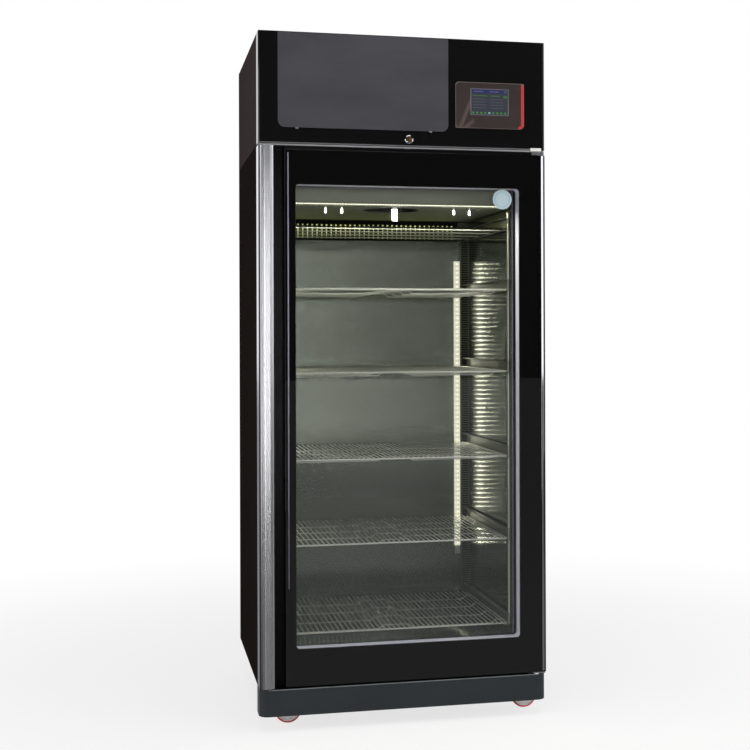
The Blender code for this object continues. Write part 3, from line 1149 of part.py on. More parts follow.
def build_lights(diffuser):
    """The light along the air unit's lower lip and the two upright bars on the back wall."""
    back = COVER_FRONT_Y - SEAT_GAP
    low = COVER_BOTTOM + LIP_LIGHT_RISE
    bevel = LIP_LIGHT_BEVEL
    side_view = [(back, low), (back, low + LIP_LIGHT_HEIGHT), (back - LIP_LIGHT_DEPTH + bevel, low + LIP_LIGHT_HEIGHT),
                 (back - LIP_LIGHT_DEPTH, low + LIP_LIGHT_HEIGHT - bevel), (back - LIP_LIGHT_DEPTH, low + bevel),
                 (back - LIP_LIGHT_DEPTH + bevel, low)]
    half = COVER_HALF - LIP_LIGHT_END_GAP
    piece("led_bar_top", prism(side_view, -half, half, "X"), diffuser)
    wall = CAVITY_BACK_Y - SEAT_GAP
    front = wall - LIGHT_DEPTH
    bevel = LIGHT_BEVEL
    for name, side in (("led_bar_left", -1), ("led_bar_right", 1)):
        outer = side * (CAVITY_HALF - LIGHT_CORNER_GAP)
        inner = side * (CAVITY_HALF - LIGHT_CORNER_GAP - LIGHT_WIDTH)
        plan = [(inner, wall), (outer, wall), (outer, front + bevel), (outer - side * bevel, front),
                (inner + side * bevel, front), (inner, front + bevel)]
        piece(name, prism(plan, CAVITY_FLOOR + LIGHT_FLOOR_RISE, COVER_BOTTOM - LIGHT_HEAD_GAP), diffuser)


# Shelves

def rack_mesh(side):
    """A channel upright on the side wall, one in the back corner and a C-shaped runner at every shelf."""
    wall = side * (CAVITY_HALF - SEAT_GAP)
    face = side * UPRIGHT_INNER_X
    inner = face + side * UPRIGHT_SHEET
    low = SHELF_TOPS[0] - SHELF_THICKNESS - SEAT_GAP - RUNNER_SHEET
    high = SHELF_TOPS[-1] - SHELF_THICKNESS + RUNNER_HEIGHT + UPRIGHT_HEAD_RISE
    front = FACE_Y + UPRIGHT_FRONT_INSET
    back = front + UPRIGHT_WIDTH
    plan = [(wall, front), (face, front), (face, back), (wall, back), (wall, back - UPRIGHT_SHEET),
            (inner, back - UPRIGHT_SHEET), (inner, front + UPRIGHT_SHEET), (wall, front + UPRIGHT_SHEET)]
    rear_face, rear_wall = CAVITY_BACK_Y - UPRIGHT_DEPTH, CAVITY_BACK_Y - SEAT_GAP
    near = wall - side * REAR_UPRIGHT_WIDTH
    rear_plan = [(near, rear_wall), (near, rear_face), (wall, rear_face), (wall, rear_wall),
                 (wall - side * UPRIGHT_SHEET, rear_wall), (wall - side * UPRIGHT_SHEET, rear_face + UPRIGHT_SHEET),
                 (near + side * UPRIGHT_SHEET, rear_face + UPRIGHT_SHEET), (near + side * UPRIGHT_SHEET, rear_wall)]
    sheet = RUNNER_SHEET
    web, web_back = side * RUNNER_WEB_X, side * (RUNNER_WEB_X + sheet)
    lip = side * (RUNNER_WEB_X + sheet - RUNNER_FLANGE)
    runners = []
    for top in SHELF_TOPS:
        start = top - SHELF_THICKNESS - SEAT_GAP - sheet
        end = start + RUNNER_HEIGHT
        section = [(web_back, start), (lip, start), (lip, start + sheet), (web, start + sheet),
                   (web, end - sheet), (lip, end - sheet), (lip, end), (web_back, end)]
        runners.append(prism(section, FACE_Y + RUNNER_FRONT_INSET, rear_face + FUSE_OVERLAP, "Y"))
    return joined(prism(plan, low, high), adds=[prism(rear_plan, low, high), *runners])


def shelf_mesh():
    """A wire shelf with its top at the origin's level: a rim and wires in one plane, rods slung below.

    The rim is drawn as flat strips whose inner edges carry the ends of the wires, and the whole grid is then
    drawn down to the wire's depth. Each rod hangs between two lugs under the rim's sides.
    """
    bm = bmesh.new()
    half, front, back = SHELF_HALF, SHELF_FRONT_Y, SHELF_BACK_Y
    inner_half, inner_front, inner_back = half - RIM_WIDTH, front + RIM_WIDTH, back - RIM_WIDTH
    gaps = round(inner_half * 2 / WIRE_PITCH)
    step = inner_half * 2 / gaps
    edges_x = [-inner_half]
    for index in range(1, gaps):
        middle = -inner_half + step * index
        edges_x += [middle - WIRE_WIDTH / 2, middle + WIRE_WIDTH / 2]
    edges_x.append(inner_half)
    row_front = [bm.verts.new((x, inner_front, 0)) for x in edges_x]
    row_back = [bm.verts.new((x, inner_back, 0)) for x in edges_x]
    outer_front = [bm.verts.new((x, front, 0)) for x in (-half, half)]
    outer_back = [bm.verts.new((x, back, 0)) for x in (-half, half)]
    for index in range(1, len(edges_x) - 1, 2):
        bm.faces.new((row_front[index], row_front[index + 1], row_back[index + 1], row_back[index]))
    bm.faces.new([outer_front[0], outer_front[1], *row_front[::-1]])
    bm.faces.new([outer_back[1], outer_back[0], *row_back])

    rods = []
    for share in ROD_PLACE_SHARES:
        middle = front + (back - front) * share
        rods.append((middle - ROD_WIDTH / 2, middle + ROD_WIDTH / 2))
    lugs = []
    for side, outer_line, inner_line in ((0, outer_front[0], row_front[0]), (1, outer_front[1], row_front[-1])):
        last = (outer_line, inner_line)
        for rod_front, rod_back in rods:
            near = [bm.verts.new((corner.co.x, rod_front, 0)) for corner in last]
            far = [bm.verts.new((corner.co.x, rod_back, 0)) for corner in last]
            bm.faces.new((last[0], last[1], near[1], near[0]))
            lugs.append(bm.faces.new((near[0], near[1], far[1], far[0])))
            last = far
        end = (outer_back[side], row_back[-1 if side else 0])
        bm.faces.new((last[0], last[1], end[1], end[0]))
    bmesh.ops.recalc_face_normals(bm, faces=bm.faces)

    made = bmesh.ops.extrude_face_region(bm, geom=bm.faces[:], use_keep_orig=True)
    down = [item for item in made["geom"] if isinstance(item, bmesh.types.BMVert)]
    bmesh.ops.translate(bm, vec=(0, 0, -WIRE_DEPTH), verts=down)
    bmesh.ops.recalc_face_normals(bm, faces=bm.faces)
    under = []
    for lug in lugs:
        centre = lug.calc_center_median()
        under.append(min((face for face in bm.faces if face.normal.z < 0),
                         key=lambda face: (face.calc_center_median().xy - centre.xy).length))
    walls = []
    for drop in (ROD_GAP, ROD_DEPTH):
        lowered = []
        walls = []
        for face in under:
            made = bmesh.ops.extrude_discrete_faces(bm, faces=[face])
            new_face = made["faces"][0]
            bmesh.ops.translate(bm, vec=(0, 0, -drop), verts=new_face.verts)
            lowered.append(new_face)
            side = [link for edge in new_face.edges for link in edge.link_faces if link is not new_face]
            walls.append(min(side, key=lambda wall: abs(wall.calc_center_median().x)))
        under = lowered
    count = len(rods)
    for left_wall, right_wall in zip(walls[:count], walls[count:]):
        bmesh.ops.bridge_loops(bm, edges=[*left_wall.edges, *right_wall.edges])
        bmesh.ops.delete(bm, geom=[left_wall, right_wall], context="FACES_ONLY")
    return mesh_of(bm)


def build_shelves(wire, stainless):
    """The racks and the six shelves that slide on their runners."""
    piece("shelf_rack_left", rack_mesh(-1), stainless)
    piece("shelf_rack_right", rack_mesh(1), stainless)
    grid = shelf_mesh()
    names = [f"wire_shelf_{number}" for number in range(1, len(SHELF_RISE_SHARES) + 1)] + ["hanging_rack"]
    for name, top in zip(names, SHELF_TOPS):
        item = piece(name, grid, wire)
        item.location = (0, 0, top)


def main():
    clear_scene()
    black_steel = finish("black_steel", (0.012, 0.012, 0.013), 0.35, 0)
    header_black = finish("header_black", (0.010, 0.010, 0.011), 0.25, 0)
    panel_brown = finish("panel_black", (0.030, 0.026, 0.025), 0.45, 0)
    foam = finish("foam", (0.80, 0.72, 0.50), 0.9, 0)
    stainless = finish("stainless", (0.42, 0.43, 0.40), 0.3, 1)
    slate = finish("slate_paint", (0.035, 0.040, 0.048), 0.4, 0)
    zinc = finish("zinc", (0.60, 0.61, 0.62), 0.35, 1)
    rubber = finish("wheel_red", (0.60, 0.05, 0.07), 0.5, 0)
    glass = finish("clear_glass", (0.85, 0.90, 0.88), 0.03, 0, 0.25)
    frame_black = finish("frame_black", (0.008, 0.008, 0.009), 0.3, 0)
    aluminium = finish("brushed_aluminium", (0.62, 0.62, 0.64), 0.3, 1)
    spacer_metal = finish("spacer_aluminium", (0.62, 0.62, 0.70), 0.4, 1)
    seal = finish("seal_grey", (0.05, 0.05, 0.05), 0.8, 0)
    board = finish("board_slate", (0.075, 0.078, 0.085), 0.6, 0)
    bezel_brown = finish("bezel_brown", (0.09, 0.075, 0.07), 0.3, 0)
    screen_glass = finish("screen_glass", (0.25, 0.45, 0.40), 0.1, 0)
    chrome = finish("chrome", (0.75, 0.75, 0.76), 0.12, 1)
    brass = finish("key_brass", (0.35, 0.27, 0.20), 0.35, 1)
    copper = finish("copper", (0.72, 0.40, 0.28), 0.3, 1)
    plastic = finish("black_plastic", (0.02, 0.02, 0.02), 0.5, 0)
    white = finish("white_plastic", (0.85, 0.85, 0.84), 0.4, 0)
    diffuser = finish("light_diffuser", (0.95, 0.95, 0.85), 0.4, 0)
    wire = finish("shelf_wire", (0.65, 0.65, 0.66), 0.25, 1)

    door_axis = joint_axis("door_hinge_axis", (HINGE_X, HINGE_Y, 0))
    lock_axis = joint_axis("lock_axis", (LOCK_OFFSET, FACE_Y, LOCK_Z))
    fan_axis = joint_axis("condenser_fan_axis", (COIL_MIDDLE, FACE_Y + FAN_HUB_INSET,
                                                 DECK_TOP + SEAT_GAP + COIL_HEIGHT / 2))
    air_axis = joint_axis("evaporator_fan_axis", (0, FACE_Y + INTAKE_INSET, COVER_BOTTOM))

    build_body(black_steel, foam, stainless, frame_black)
    build_base(black_steel, slate)
    build_castors(zinc, rubber)
    build_door(door_axis, glass, frame_black, aluminium, spacer_metal, seal, zinc)
    build_hinges(zinc)
    build_header(header_black, panel_brown, zinc)
    build_front_fittings(board, bezel_brown, screen_glass, plastic)
    build_lock(lock_axis, chrome, brass)
    build_condensing_unit(fan_axis, black_steel, aluminium, zinc, plastic, copper)
    build_air_unit(air_axis, stainless, aluminium, plastic, white)
    build_lights(diffuser)
    build_shelves(wire, stainless)


main()
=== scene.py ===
"""Dry aging cabinet: finishes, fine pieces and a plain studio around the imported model.

Metres, +Z up, the front faces -Y and +X is the hinge side. The node graph and the finishes come first, then
the mesh tools, then one class for each sub-assembly of the cabinet and one for the studio. Such a class holds
its sizes as fields, models its pieces and dresses the model's own solids.
"""

import json
import logging
import math
from dataclasses import dataclass
from enum import Enum
from typing import Iterable, List, Optional, Sequence, Tuple, Union

import bmesh
import bpy
from mathutils import Matrix, Vector

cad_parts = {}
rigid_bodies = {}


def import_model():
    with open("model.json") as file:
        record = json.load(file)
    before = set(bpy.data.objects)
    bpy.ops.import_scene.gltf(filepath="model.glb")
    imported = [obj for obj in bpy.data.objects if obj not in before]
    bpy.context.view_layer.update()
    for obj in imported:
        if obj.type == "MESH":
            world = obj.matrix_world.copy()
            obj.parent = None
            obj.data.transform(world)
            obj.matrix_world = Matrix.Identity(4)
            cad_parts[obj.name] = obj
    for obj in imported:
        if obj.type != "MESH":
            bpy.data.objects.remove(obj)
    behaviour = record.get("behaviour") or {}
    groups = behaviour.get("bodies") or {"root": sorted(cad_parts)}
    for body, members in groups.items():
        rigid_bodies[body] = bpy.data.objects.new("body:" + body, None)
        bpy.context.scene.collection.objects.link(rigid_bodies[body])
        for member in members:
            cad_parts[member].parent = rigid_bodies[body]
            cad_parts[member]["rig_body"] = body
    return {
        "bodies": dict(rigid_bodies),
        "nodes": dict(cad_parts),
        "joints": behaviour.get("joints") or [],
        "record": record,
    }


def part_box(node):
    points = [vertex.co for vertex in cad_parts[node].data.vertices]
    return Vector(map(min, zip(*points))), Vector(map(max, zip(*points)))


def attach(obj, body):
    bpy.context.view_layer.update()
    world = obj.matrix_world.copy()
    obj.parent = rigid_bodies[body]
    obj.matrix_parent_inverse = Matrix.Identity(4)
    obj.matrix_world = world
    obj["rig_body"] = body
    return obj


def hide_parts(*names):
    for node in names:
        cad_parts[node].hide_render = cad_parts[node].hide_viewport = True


LOG = logging.getLogger("dry_aging_cabinet")

# The plane of the door's front and of the header's front.
FACE_Y = -0.355

# The gap between a thin piece and the face behind it: the first for chips and fine lines.
CLEAR = 0.0001
LIFT = 0.0002

# Edges that bend by more degrees than the first are rounded, and a rod is shaded smooth up to the second.
SHARP_ANGLE = 30
SMOOTH_ANGLE = 60

Colour = Tuple[float, float, float]
Point = Tuple[float, float, float]
Pair = Tuple[float, float]
Profile = Sequence[Pair]


def tone(red: float, green: float, blue: float) -> Colour:
    """A linear colour from its 0 to 255 display values."""
    shares = (red / 255, green / 255, blue / 255)
    return tuple(c / 12.92 if c <= 0.04045 else ((c + 0.055) / 1.055) ** 2.4 for c in shares)


class Grain(Enum):
    """The direction in which a metal was brushed, as the stretch of its noise on each axis."""

    ALONG_X = (5.0, 900.0, 900.0)
    ALONG_Z = (900.0, 900.0, 5.0)
    CAST = (260.0, 260.0, 260.0)


class Value:
    """A shader output that takes part in sums."""

    def __init__(self, graph: "Graph", socket: bpy.types.NodeSocket) -> None:
        """Keeps the graph and the socket."""
        self.graph = graph
        self.socket = socket

    def __add__(self, other: "Number") -> "Value":
        """The sum."""
        return self.graph.scalar("ADD", self, other)

    def __radd__(self, other: float) -> "Value":
        """The sum, the other way round."""
        return self.graph.scalar("ADD", other, self)

    def __sub__(self, other: "Number") -> "Value":
        """The difference."""
        return self.graph.scalar("SUBTRACT", self, other)

    def __rsub__(self, other: float) -> "Value":
        """The difference, the other way round."""
        return self.graph.scalar("SUBTRACT", other, self)

    def __mul__(self, other: "Number") -> "Value":
        """The product."""
        return self.graph.scalar("MULTIPLY", self, other)

    def __rmul__(self, other: float) -> "Value":
        """The product, the other way round."""
        return self.graph.scalar("MULTIPLY", other, self)

    def __truediv__(self, other: "Number") -> "Value":
        """The quotient."""
        return self.graph.scalar("DIVIDE", self, other)

    def __rtruediv__(self, other: float) -> "Value":
        """The quotient, the other way round."""
        return self.graph.scalar("DIVIDE", other, self)

    def __abs__(self) -> "Value":
        """The size without its sign."""
        return self.graph.scalar("ABSOLUTE", self)

    def least(self, other: "Number") -> "Value":
        """The smaller of two."""
        return self.graph.scalar("MINIMUM", self, other)

    def most(self, other: "Number") -> "Value":
        """The larger of two."""
        return self.graph.scalar("MAXIMUM", self, other)

    def ramp(self, low: float, high: float, start: float = 0.0, end: float = 1.0) -> "Value":
        """Turns smoothly from start at low to end at high.

        Args:
            low: Where the ramp begins.
            high: Where the ramp ends.
            start: The value before the ramp.
            end: The value after the ramp.

        Returns:
            The ramped value.
        """
        node = self.graph.node("MapRange", {"interpolation_type": "SMOOTHSTEP"},
                               {"Value": self, "From Min": low, "From Max": high, "To Min": start,
                                "To Max": end})
        return Value(self.graph, node.outputs["Result"])

    def fall(self, low: float, high: float) -> "Value":
        """Turns smoothly from 1 at low to 0 at high."""
        return self.ramp(low, high, 1.0, 0.0)

    def band(self, rise: Pair, drop: Pair) -> "Value":
        """1 from the end of a rise to the start of a drop, and 0 outside them."""
        return self.ramp(*rise) * self.fall(*drop)


Number = Union[Value, float]


class Graph:
    """The node tree of one material or of the world."""

    def __init__(self, owner: Union[bpy.types.Material, bpy.types.World]) -> None:
        """Switches nodes on and keeps the tree.

        Args:
            owner: The material or world that the tree belongs to.
        """
        owner.use_nodes = True
        self.tree = owner.node_tree
        self.shader = self.tree.nodes.get("Principled BSDF")

    def node(self, kind: str, settings: Optional[dict] = None,
             values: Optional[dict] = None) -> bpy.types.Node:
        """Makes one node.

        Args:
            kind: The node's type, without the ShaderNode prefix.
            settings: Properties of the node.
            values: Inputs by name, as constants or as Values.

        Returns:
            The node.
        """
        made = self.tree.nodes.new("ShaderNode" + kind)
        for name, value in (settings or {}).items():
            setattr(made, name, value)
        for name, value in (values or {}).items():
            self.feed(made.inputs[name], value)
        return made

    def feed(self, socket: bpy.types.NodeSocket, value: object) -> None:
        """Links a Value to a socket, or sets a constant on it.

        Args:
            socket: The input.
            value: A Value, a number, a vector or a colour.
        """
        if isinstance(value, Value):
            self.tree.links.new(value.socket, socket)
        elif socket.type == "RGBA" and not isinstance(value, (int, float)) and len(value) == 3:
            socket.default_value = (*value, 1)
        else:
            socket.default_value = value

    def scalar(self, operation: str, *values: Number) -> Value:
        """One Math node.

        Args:
            operation: The node's operation.
            values: One to three numbers or Values.

        Returns:
            The result.
        """
        node = self.node("Math", {"operation": operation})
        for socket, value in zip(node.inputs, values):
            self.feed(socket, value)
        return Value(self, node.outputs[0])

    def surface(self, **values: object) -> None:
        """Sets inputs of the Principled shader.

        Args:
            values: A constant or a Value for each input, its name with underscores for spaces.
        """
        for name, value in values.items():
            self.feed(self.shader.inputs[name.replace("_", " ")], value)

    def place(self) -> Value:
        """The object coordinates."""
        return Value(self, self.node("TexCoord").outputs["Object"])

    def stretched(self, stretch: Sequence[float]) -> Value:
        """The object coordinates, stretched on each axis."""
        node = self.node("Mapping", {"vector_type": "POINT"}, {"Vector": self.place(), "Scale": stretch})
        return Value(self, node.outputs[0])

    def axes(self) -> Tuple[Value, Value, Value]:
        """The three object coordinates as single Values."""
        node = self.node("SeparateXYZ", None, {"Vector": self.place()})
        return tuple(Value(self, socket) for socket in node.outputs)

    def noise(self, stretch: Sequence[float], detail: float = 2.0, rough: float = 0.5) -> Value:
        """A noise around 0.5 on stretched object coordinates.

        Args:
            stretch: Waves per metre on each axis.
            detail: Octaves.
            rough: The strength of the finer octaves.

        Returns:
            The noise.
        """
        node = self.node("TexNoise", None,
                         {"Vector": self.stretched(stretch), "Scale": 1.0, "Detail": detail,
                          "Roughness": rough})
        return Value(self, node.outputs["Fac"])

    def mix(self, factor: Number, first: object, second: object) -> Value:
        """A colour between two.

        Args:
            factor: 0 for the first, 1 for the second.
            first: A colour.
            second: A colour.

        Returns:
            The mixed colour.
        """
        node = self.node("Mix", {"data_type": "RGBA"})
        self.feed(node.inputs[0], factor)
        self.feed(node.inputs[6], first)
        self.feed(node.inputs[7], second)
        return Value(self, node.outputs[2])

    def bump(self, height: Value, distance: float) -> Value:
        """A normal from a height of 0 to 1 that is so many metres deep."""
        node = self.node("Bump", None, {"Height": height, "Distance": distance, "Strength": 1.0})
        return Value(self, node.outputs[0])

    def cell(self, value: Value, pitch: float) -> Value:
        """A zigzag from 0 to 1 and back over each pitch."""
        return self.scalar("PINGPONG", value, pitch / 2) / (pitch / 2)

    def outline(self, across: Value, up: Value, low: Sequence[float], high: Sequence[float],
                radius: float) -> Value:
        """The distance from a rounded rectangle, below zero inside it.

        Args:
            across: The first coordinate.
            up: The second coordinate.
            low: The lower corner.
            high: The higher corner.
            radius: The corner radius.

        Returns:
            The distance in metres.
        """
        gaps = []
        for value, start, end in ((across, low[0], high[0]), (up, low[1], high[1])):
            gaps.append(abs(value - (start + end) / 2) - ((end - start) / 2 - radius))
        outer = [gap.most(0.0) for gap in gaps]
        length = self.scalar("SQRT", outer[0] * outer[0] + outer[1] * outer[1])
        return length + gaps[0].most(gaps[1]).least(0.0) - radius


def shade(colour: Colour, factor: float) -> Colour:
    """A colour made darker or lighter."""
    return tuple(min(1.0, part * factor) for part in colour)


@dataclass(frozen=True)
class Finish:
    """A finish with a name, the record's slot and a way to build its material."""

    name: str
    slot: str
    colour: Colour

    def build(self) -> bpy.types.Material:
        """The material, made once and then shared.

        Returns:
            The material, under a label that no slot of the record has.
        """
        label = self.name + "_finish"
        found = bpy.data.materials.get(label)
        if found:
            return found
        material = bpy.data.materials.new(label)
        self.paint(Graph(material))
        return material

    def paint(self, graph: Graph) -> None:
        """Sets the nodes of the material."""
        graph.surface(Base_Color=self.colour)

    def varied(self, graph: Graph, amount: Number, shades: Pair) -> Value:
        """The finish's own colour, from a darker shade of it to a lighter one."""
        return graph.mix(amount, shade(self.colour, shades[0]), shade(self.colour, shades[1]))


@dataclass(frozen=True)
class PaintedMetal(Finish):
    """Powder coat or lacquer with orange peel, faint cloudiness and wiped patches."""

    roughness: float = 0.3
    peel: float = 0.00002
    peel_waves: float = 700.0
    specular: float = 0.5
    cloud_waves: Point = (5, 5, 5)
    cloud_shades: Pair = (0.88, 1.12)
    wipe_waves: Point = (2.2, 2.2, 7.0)
    wipe_share: float = 0.16

    def paint(self, graph: Graph) -> None:
        """Sets the nodes of the material."""
        cloud = graph.noise(self.cloud_waves, 3)
        wipe = graph.noise(self.wipe_waves, 4, 0.6)
        peel = graph.noise((self.peel_waves,) * 3, 1)
        graph.surface(Base_Color=self.varied(graph, cloud, self.cloud_shades),
                      Roughness=(wipe - 0.5) * self.wipe_share + self.roughness,
                      Specular_IOR_Level=self.specular, Normal=graph.bump(peel, self.peel))


@dataclass(frozen=True)
class BrushedMetal(Finish):
    """Brushed, rolled or cast metal."""

    roughness: float = 0.3
    grain: Grain = Grain.ALONG_Z
    depth: float = 0.000006
    contrast: float = 0.12
    metal: float = 1.0
    patch_waves: Point = (7, 7, 7)
    line_share: float = 0.7
    line_roughness: float = 0.2
    patch_roughness: float = 0.1

    def paint(self, graph: Graph) -> None:
        """Sets the nodes of the material."""
        lines = graph.noise(self.grain.value, 3, 0.6)
        patch = graph.noise(self.patch_waves, 3)
        amount = lines * self.line_share + patch * (1 - self.line_share)
        rough = (lines - 0.5) * self.line_roughness + (patch - 0.5) * self.patch_roughness + self.roughness
        graph.surface(Base_Color=self.varied(graph, amount, (1 - self.contrast, 1 + self.contrast)),
                      Metallic=self.metal, Roughness=rough, Normal=graph.bump(lines, self.depth))


@dataclass(frozen=True)
class PolishedSheet(Finish):
    """Bright-rolled steel sheet with upright grain: a lamp stretches sideways in it and its edges stay crisp.

    The side walls are smoother than the back, so that each lamp of the upright bars draws its own line
    in them.
    """

    roughness: float = 0.18
    side_roughness: float = 0.15
    side_place: Pair = (0.3530, 0.3540)
    roll_waves: Point = (1.6, 1.6, 4.0)
    roll_shades: Pair = (0.88, 1.10)
    roll_roughness: float = 0.04
    line_roughness: float = 0.02

    def paint(self, graph: Graph) -> None:
        """Sets the nodes of the material."""
        roll = graph.noise(self.roll_waves, 3)
        lines = graph.noise(Grain.ALONG_Z.value, 2)
        base = abs(graph.axes()[0]).ramp(*self.side_place, self.roughness, self.side_roughness)
        rough = (roll - 0.5) * self.roll_roughness + (lines - 0.5) * self.line_roughness + base
        graph.surface(Base_Color=self.varied(graph, roll, self.roll_shades), Metallic=1.0, Roughness=rough,
                      Anisotropic=1.0)


@dataclass(frozen=True)
class GripMetal(Finish):
    """Brushed aluminium extrusion with painted shade and painted highlights in bands across its face.

    The groove at the outer edge and the bands beside it are painted shade, and the flank, a fine ridge and
    the nose are painted highlights. The bands lie at their distances from the grip's outer edge.
    """

    left: float = -0.440
    flank: Pair = (0.0, 0.0002)
    groove_rise: Pair = (0.0002, 0.0006)
    groove_drop: Pair = (0.0042, 0.0050)
    chamfer: Pair = (0.0088, 0.0092)
    chamfer_share: float = 0.9
    outer: Pair = (0.0165, 0.0175)
    outer_share: float = 0.35
    ridge: float = 0.0175
    ridge_edge: Pair = (0.0008, 0.0014)
    nose: Pair = (0.0404, 0.0412)
    # The painted highlight colour, then the groove's painted shade colour.
    bright: Colour = tone(232, 232, 238)
    dark: Colour = tone(58, 54, 60)
    roughness: float = 0.27
    groove_roughness: float = 0.25

    def paint(self, graph: Graph) -> None:
        """Sets the nodes of the material."""
        place = graph.axes()[0] - self.left
        lines = graph.noise(Grain.ALONG_Z.value, 3, 0.6)
        patch = graph.noise((7, 7, 7), 3)
        # Painted shade in the groove, which is also rougher.
        groove = place.band(self.groove_rise, self.groove_drop)
        # Painted shade: the face darkens to a third of its colour, strongly on the chamfer and faintly up to
        # the ridge.
        shadow = place.ramp(*self.outer, self.outer_share, 0.0)
        shadow = shadow.most(place.ramp(*self.chamfer, self.chamfer_share, 0.0))
        # Painted highlights on the ridge, the nose and the outer flank.
        painted_highlight = abs(place - self.ridge).fall(*self.ridge_edge).most(place.ramp(*self.nose))
        painted_highlight = painted_highlight.most(place.fall(*self.flank))
        plain = self.varied(graph, lines * 0.7 + patch * 0.3, (0.88, 1.12))
        body = graph.mix(painted_highlight, graph.mix(shadow, plain, shade(self.colour, 0.3)), self.bright)
        rough = (lines - 0.5) * 0.06 + (patch - 0.5) * 0.02 + self.roughness + groove * self.groove_roughness
        graph.surface(Base_Color=graph.mix(groove, body, self.dark), Metallic=1.0, Roughness=rough)


@dataclass(frozen=True)
class Plastic(Finish):
    """Moulded plastic or rubber with a fine eroded grain."""

    roughness: float = 0.45
    grain: float = 0.00002
    specular: float = 0.5
    grain_waves: Point = (1500, 1500, 1500)
    cloud_waves: Point = (14, 14, 14)
    cloud_shades: Pair = (0.92, 1.08)
    cloud_roughness: float = 0.14

    def paint(self, graph: Graph) -> None:
        """Sets the nodes of the material."""
        grain = graph.noise(self.grain_waves, 2)
        cloud = graph.noise(self.cloud_waves, 2)
        graph.surface(Base_Color=self.varied(graph, cloud, self.cloud_shades),
                      Roughness=(cloud - 0.5) * self.cloud_roughness + self.roughness,
                      Specular_IOR_Level=self.specular, Normal=graph.bump(grain, self.grain))


@dataclass(frozen=True)
class Foam(Finish):
    """Cut polyurethane foam with fine cells."""

    cells: float = 420.0
    depth: float = 0.0006

    def paint(self, graph: Graph) -> None:
        """Sets the nodes of the material."""
        node = graph.node("TexVoronoi", None, {"Vector": graph.place(), "Scale": self.cells})
        cells = Value(graph, node.outputs["Distance"])
        graph.surface(Base_Color=self.varied(graph, cells, (0.8, 1.0)), Roughness=0.9,
                      Normal=graph.bump(cells, self.depth))


@dataclass(frozen=True)
class Slate(Finish):
    """A chalk surface: matt, with the faint cloud that a wiped board keeps."""

    smear_waves: Point = (3, 3, 9)
    smear_edge: Pair = (0.3, 0.75)
    fine_waves: Point = (1300, 1300, 1300)
    depth: float = 0.00004

    def paint(self, graph: Graph) -> None:
        """Sets the nodes of the material."""
        smear = graph.noise(self.smear_waves, 5, 0.65).ramp(*self.smear_edge)
        fine = graph.noise(self.fine_waves, 2)
        graph.surface(Base_Color=self.varied(graph, smear, (0.86, 1.18)), Roughness=fine * 0.12 + 0.42,
                      Normal=graph.bump(fine, self.depth))


@dataclass(frozen=True)
class Fins(Finish):
    """A stack of thin aluminium fins with a pitch too fine for single pieces, and painted shade between them.
    """

    pitch: float = 0.0021
    edge: Pair = (0.35, 0.7)
    painted_gap_shade: float = 0.08
    depth: float = 0.0006

    def paint(self, graph: Graph) -> None:
        """Sets the nodes of the material."""
        edge = graph.cell(graph.axes()[0], self.pitch).ramp(*self.edge)
        dust = graph.noise((25, 25, 60), 3)
        crest = self.varied(graph, dust, (0.8, 1.0))
        # Painted shade: the gaps between fins take a near-black copy of the fin colour.
        graph.surface(Base_Color=graph.mix(edge, shade(self.colour, self.painted_gap_shade), crest), Metallic=edge,
                      Roughness=dust * 0.2 + 0.3, Normal=graph.bump(edge, self.depth))


@dataclass(frozen=True)
class PrintedGlass(Finish):
    """Door glass with a black border printed behind it and a clear window."""

    low: Pair = (0.0, 0.0)
    high: Pair = (1.0, 1.0)
    radius: float = 0.01
    film: float = 0.08
    print_edge: Pair = (-0.0006, 0.0006)
    border: Colour = tone(12, 12, 12)

    def paint(self, graph: Graph) -> None:
        """Sets the nodes of the material."""
        across, _, up = graph.axes()
        border = graph.outline(across, up, self.low, self.high, self.radius).ramp(*self.print_edge)
        cloud = graph.noise((3, 3, 3), 3)
        tint = self.varied(graph, cloud, (0.9, 1.0))
        graph.surface(Base_Color=graph.mix(border, tint, self.border), Metallic=1.0 - border,
                      Roughness=cloud * 0.01 + 0.008, Alpha=border.ramp(0, 1, self.film, 1.0))


@dataclass(frozen=True)
class RingLabel(Finish):
    """A bare round paper label with one faint ring."""

    centre: Pair = (0.0, 0.0)
    radius: float = 0.03
    ring_share: float = 0.78
    ring_edge: Pair = (0.04, 0.07)
    ring_strength: float = 0.6
    ink: Colour = tone(150, 186, 206)

    def paint(self, graph: Graph) -> None:
        """Sets the nodes of the material."""
        across, _, up = graph.axes()
        aside, above = across - self.centre[0], up - self.centre[1]
        away = graph.scalar("SQRT", aside * aside + above * above) / self.radius
        ring = abs(away - self.ring_share).fall(*self.ring_edge) * self.ring_strength
        fibre = graph.noise((900, 900, 900), 2)
        graph.surface(Base_Color=graph.mix(ring, self.varied(graph, fibre, (0.94, 1.0)), self.ink),
                      Roughness=fibre * 0.1 + 0.45)


@dataclass(frozen=True)
class Glow(Finish):
    """A lit surface: a lamp chip, its lens, or a part that glows as painted light."""

    strength: float = 1.0
    under: Colour = (0.8, 0.8, 0.7)

    def paint(self, graph: Graph) -> None:
        """Sets the nodes of the material."""
        cloud = graph.noise((40, 40, 40), 1)
        graph.surface(Base_Color=self.under, Roughness=cloud * 0.1 + 0.3,
                      Emission_Color=self.varied(graph, cloud, (0.9, 1.0)), Emission_Strength=self.strength)


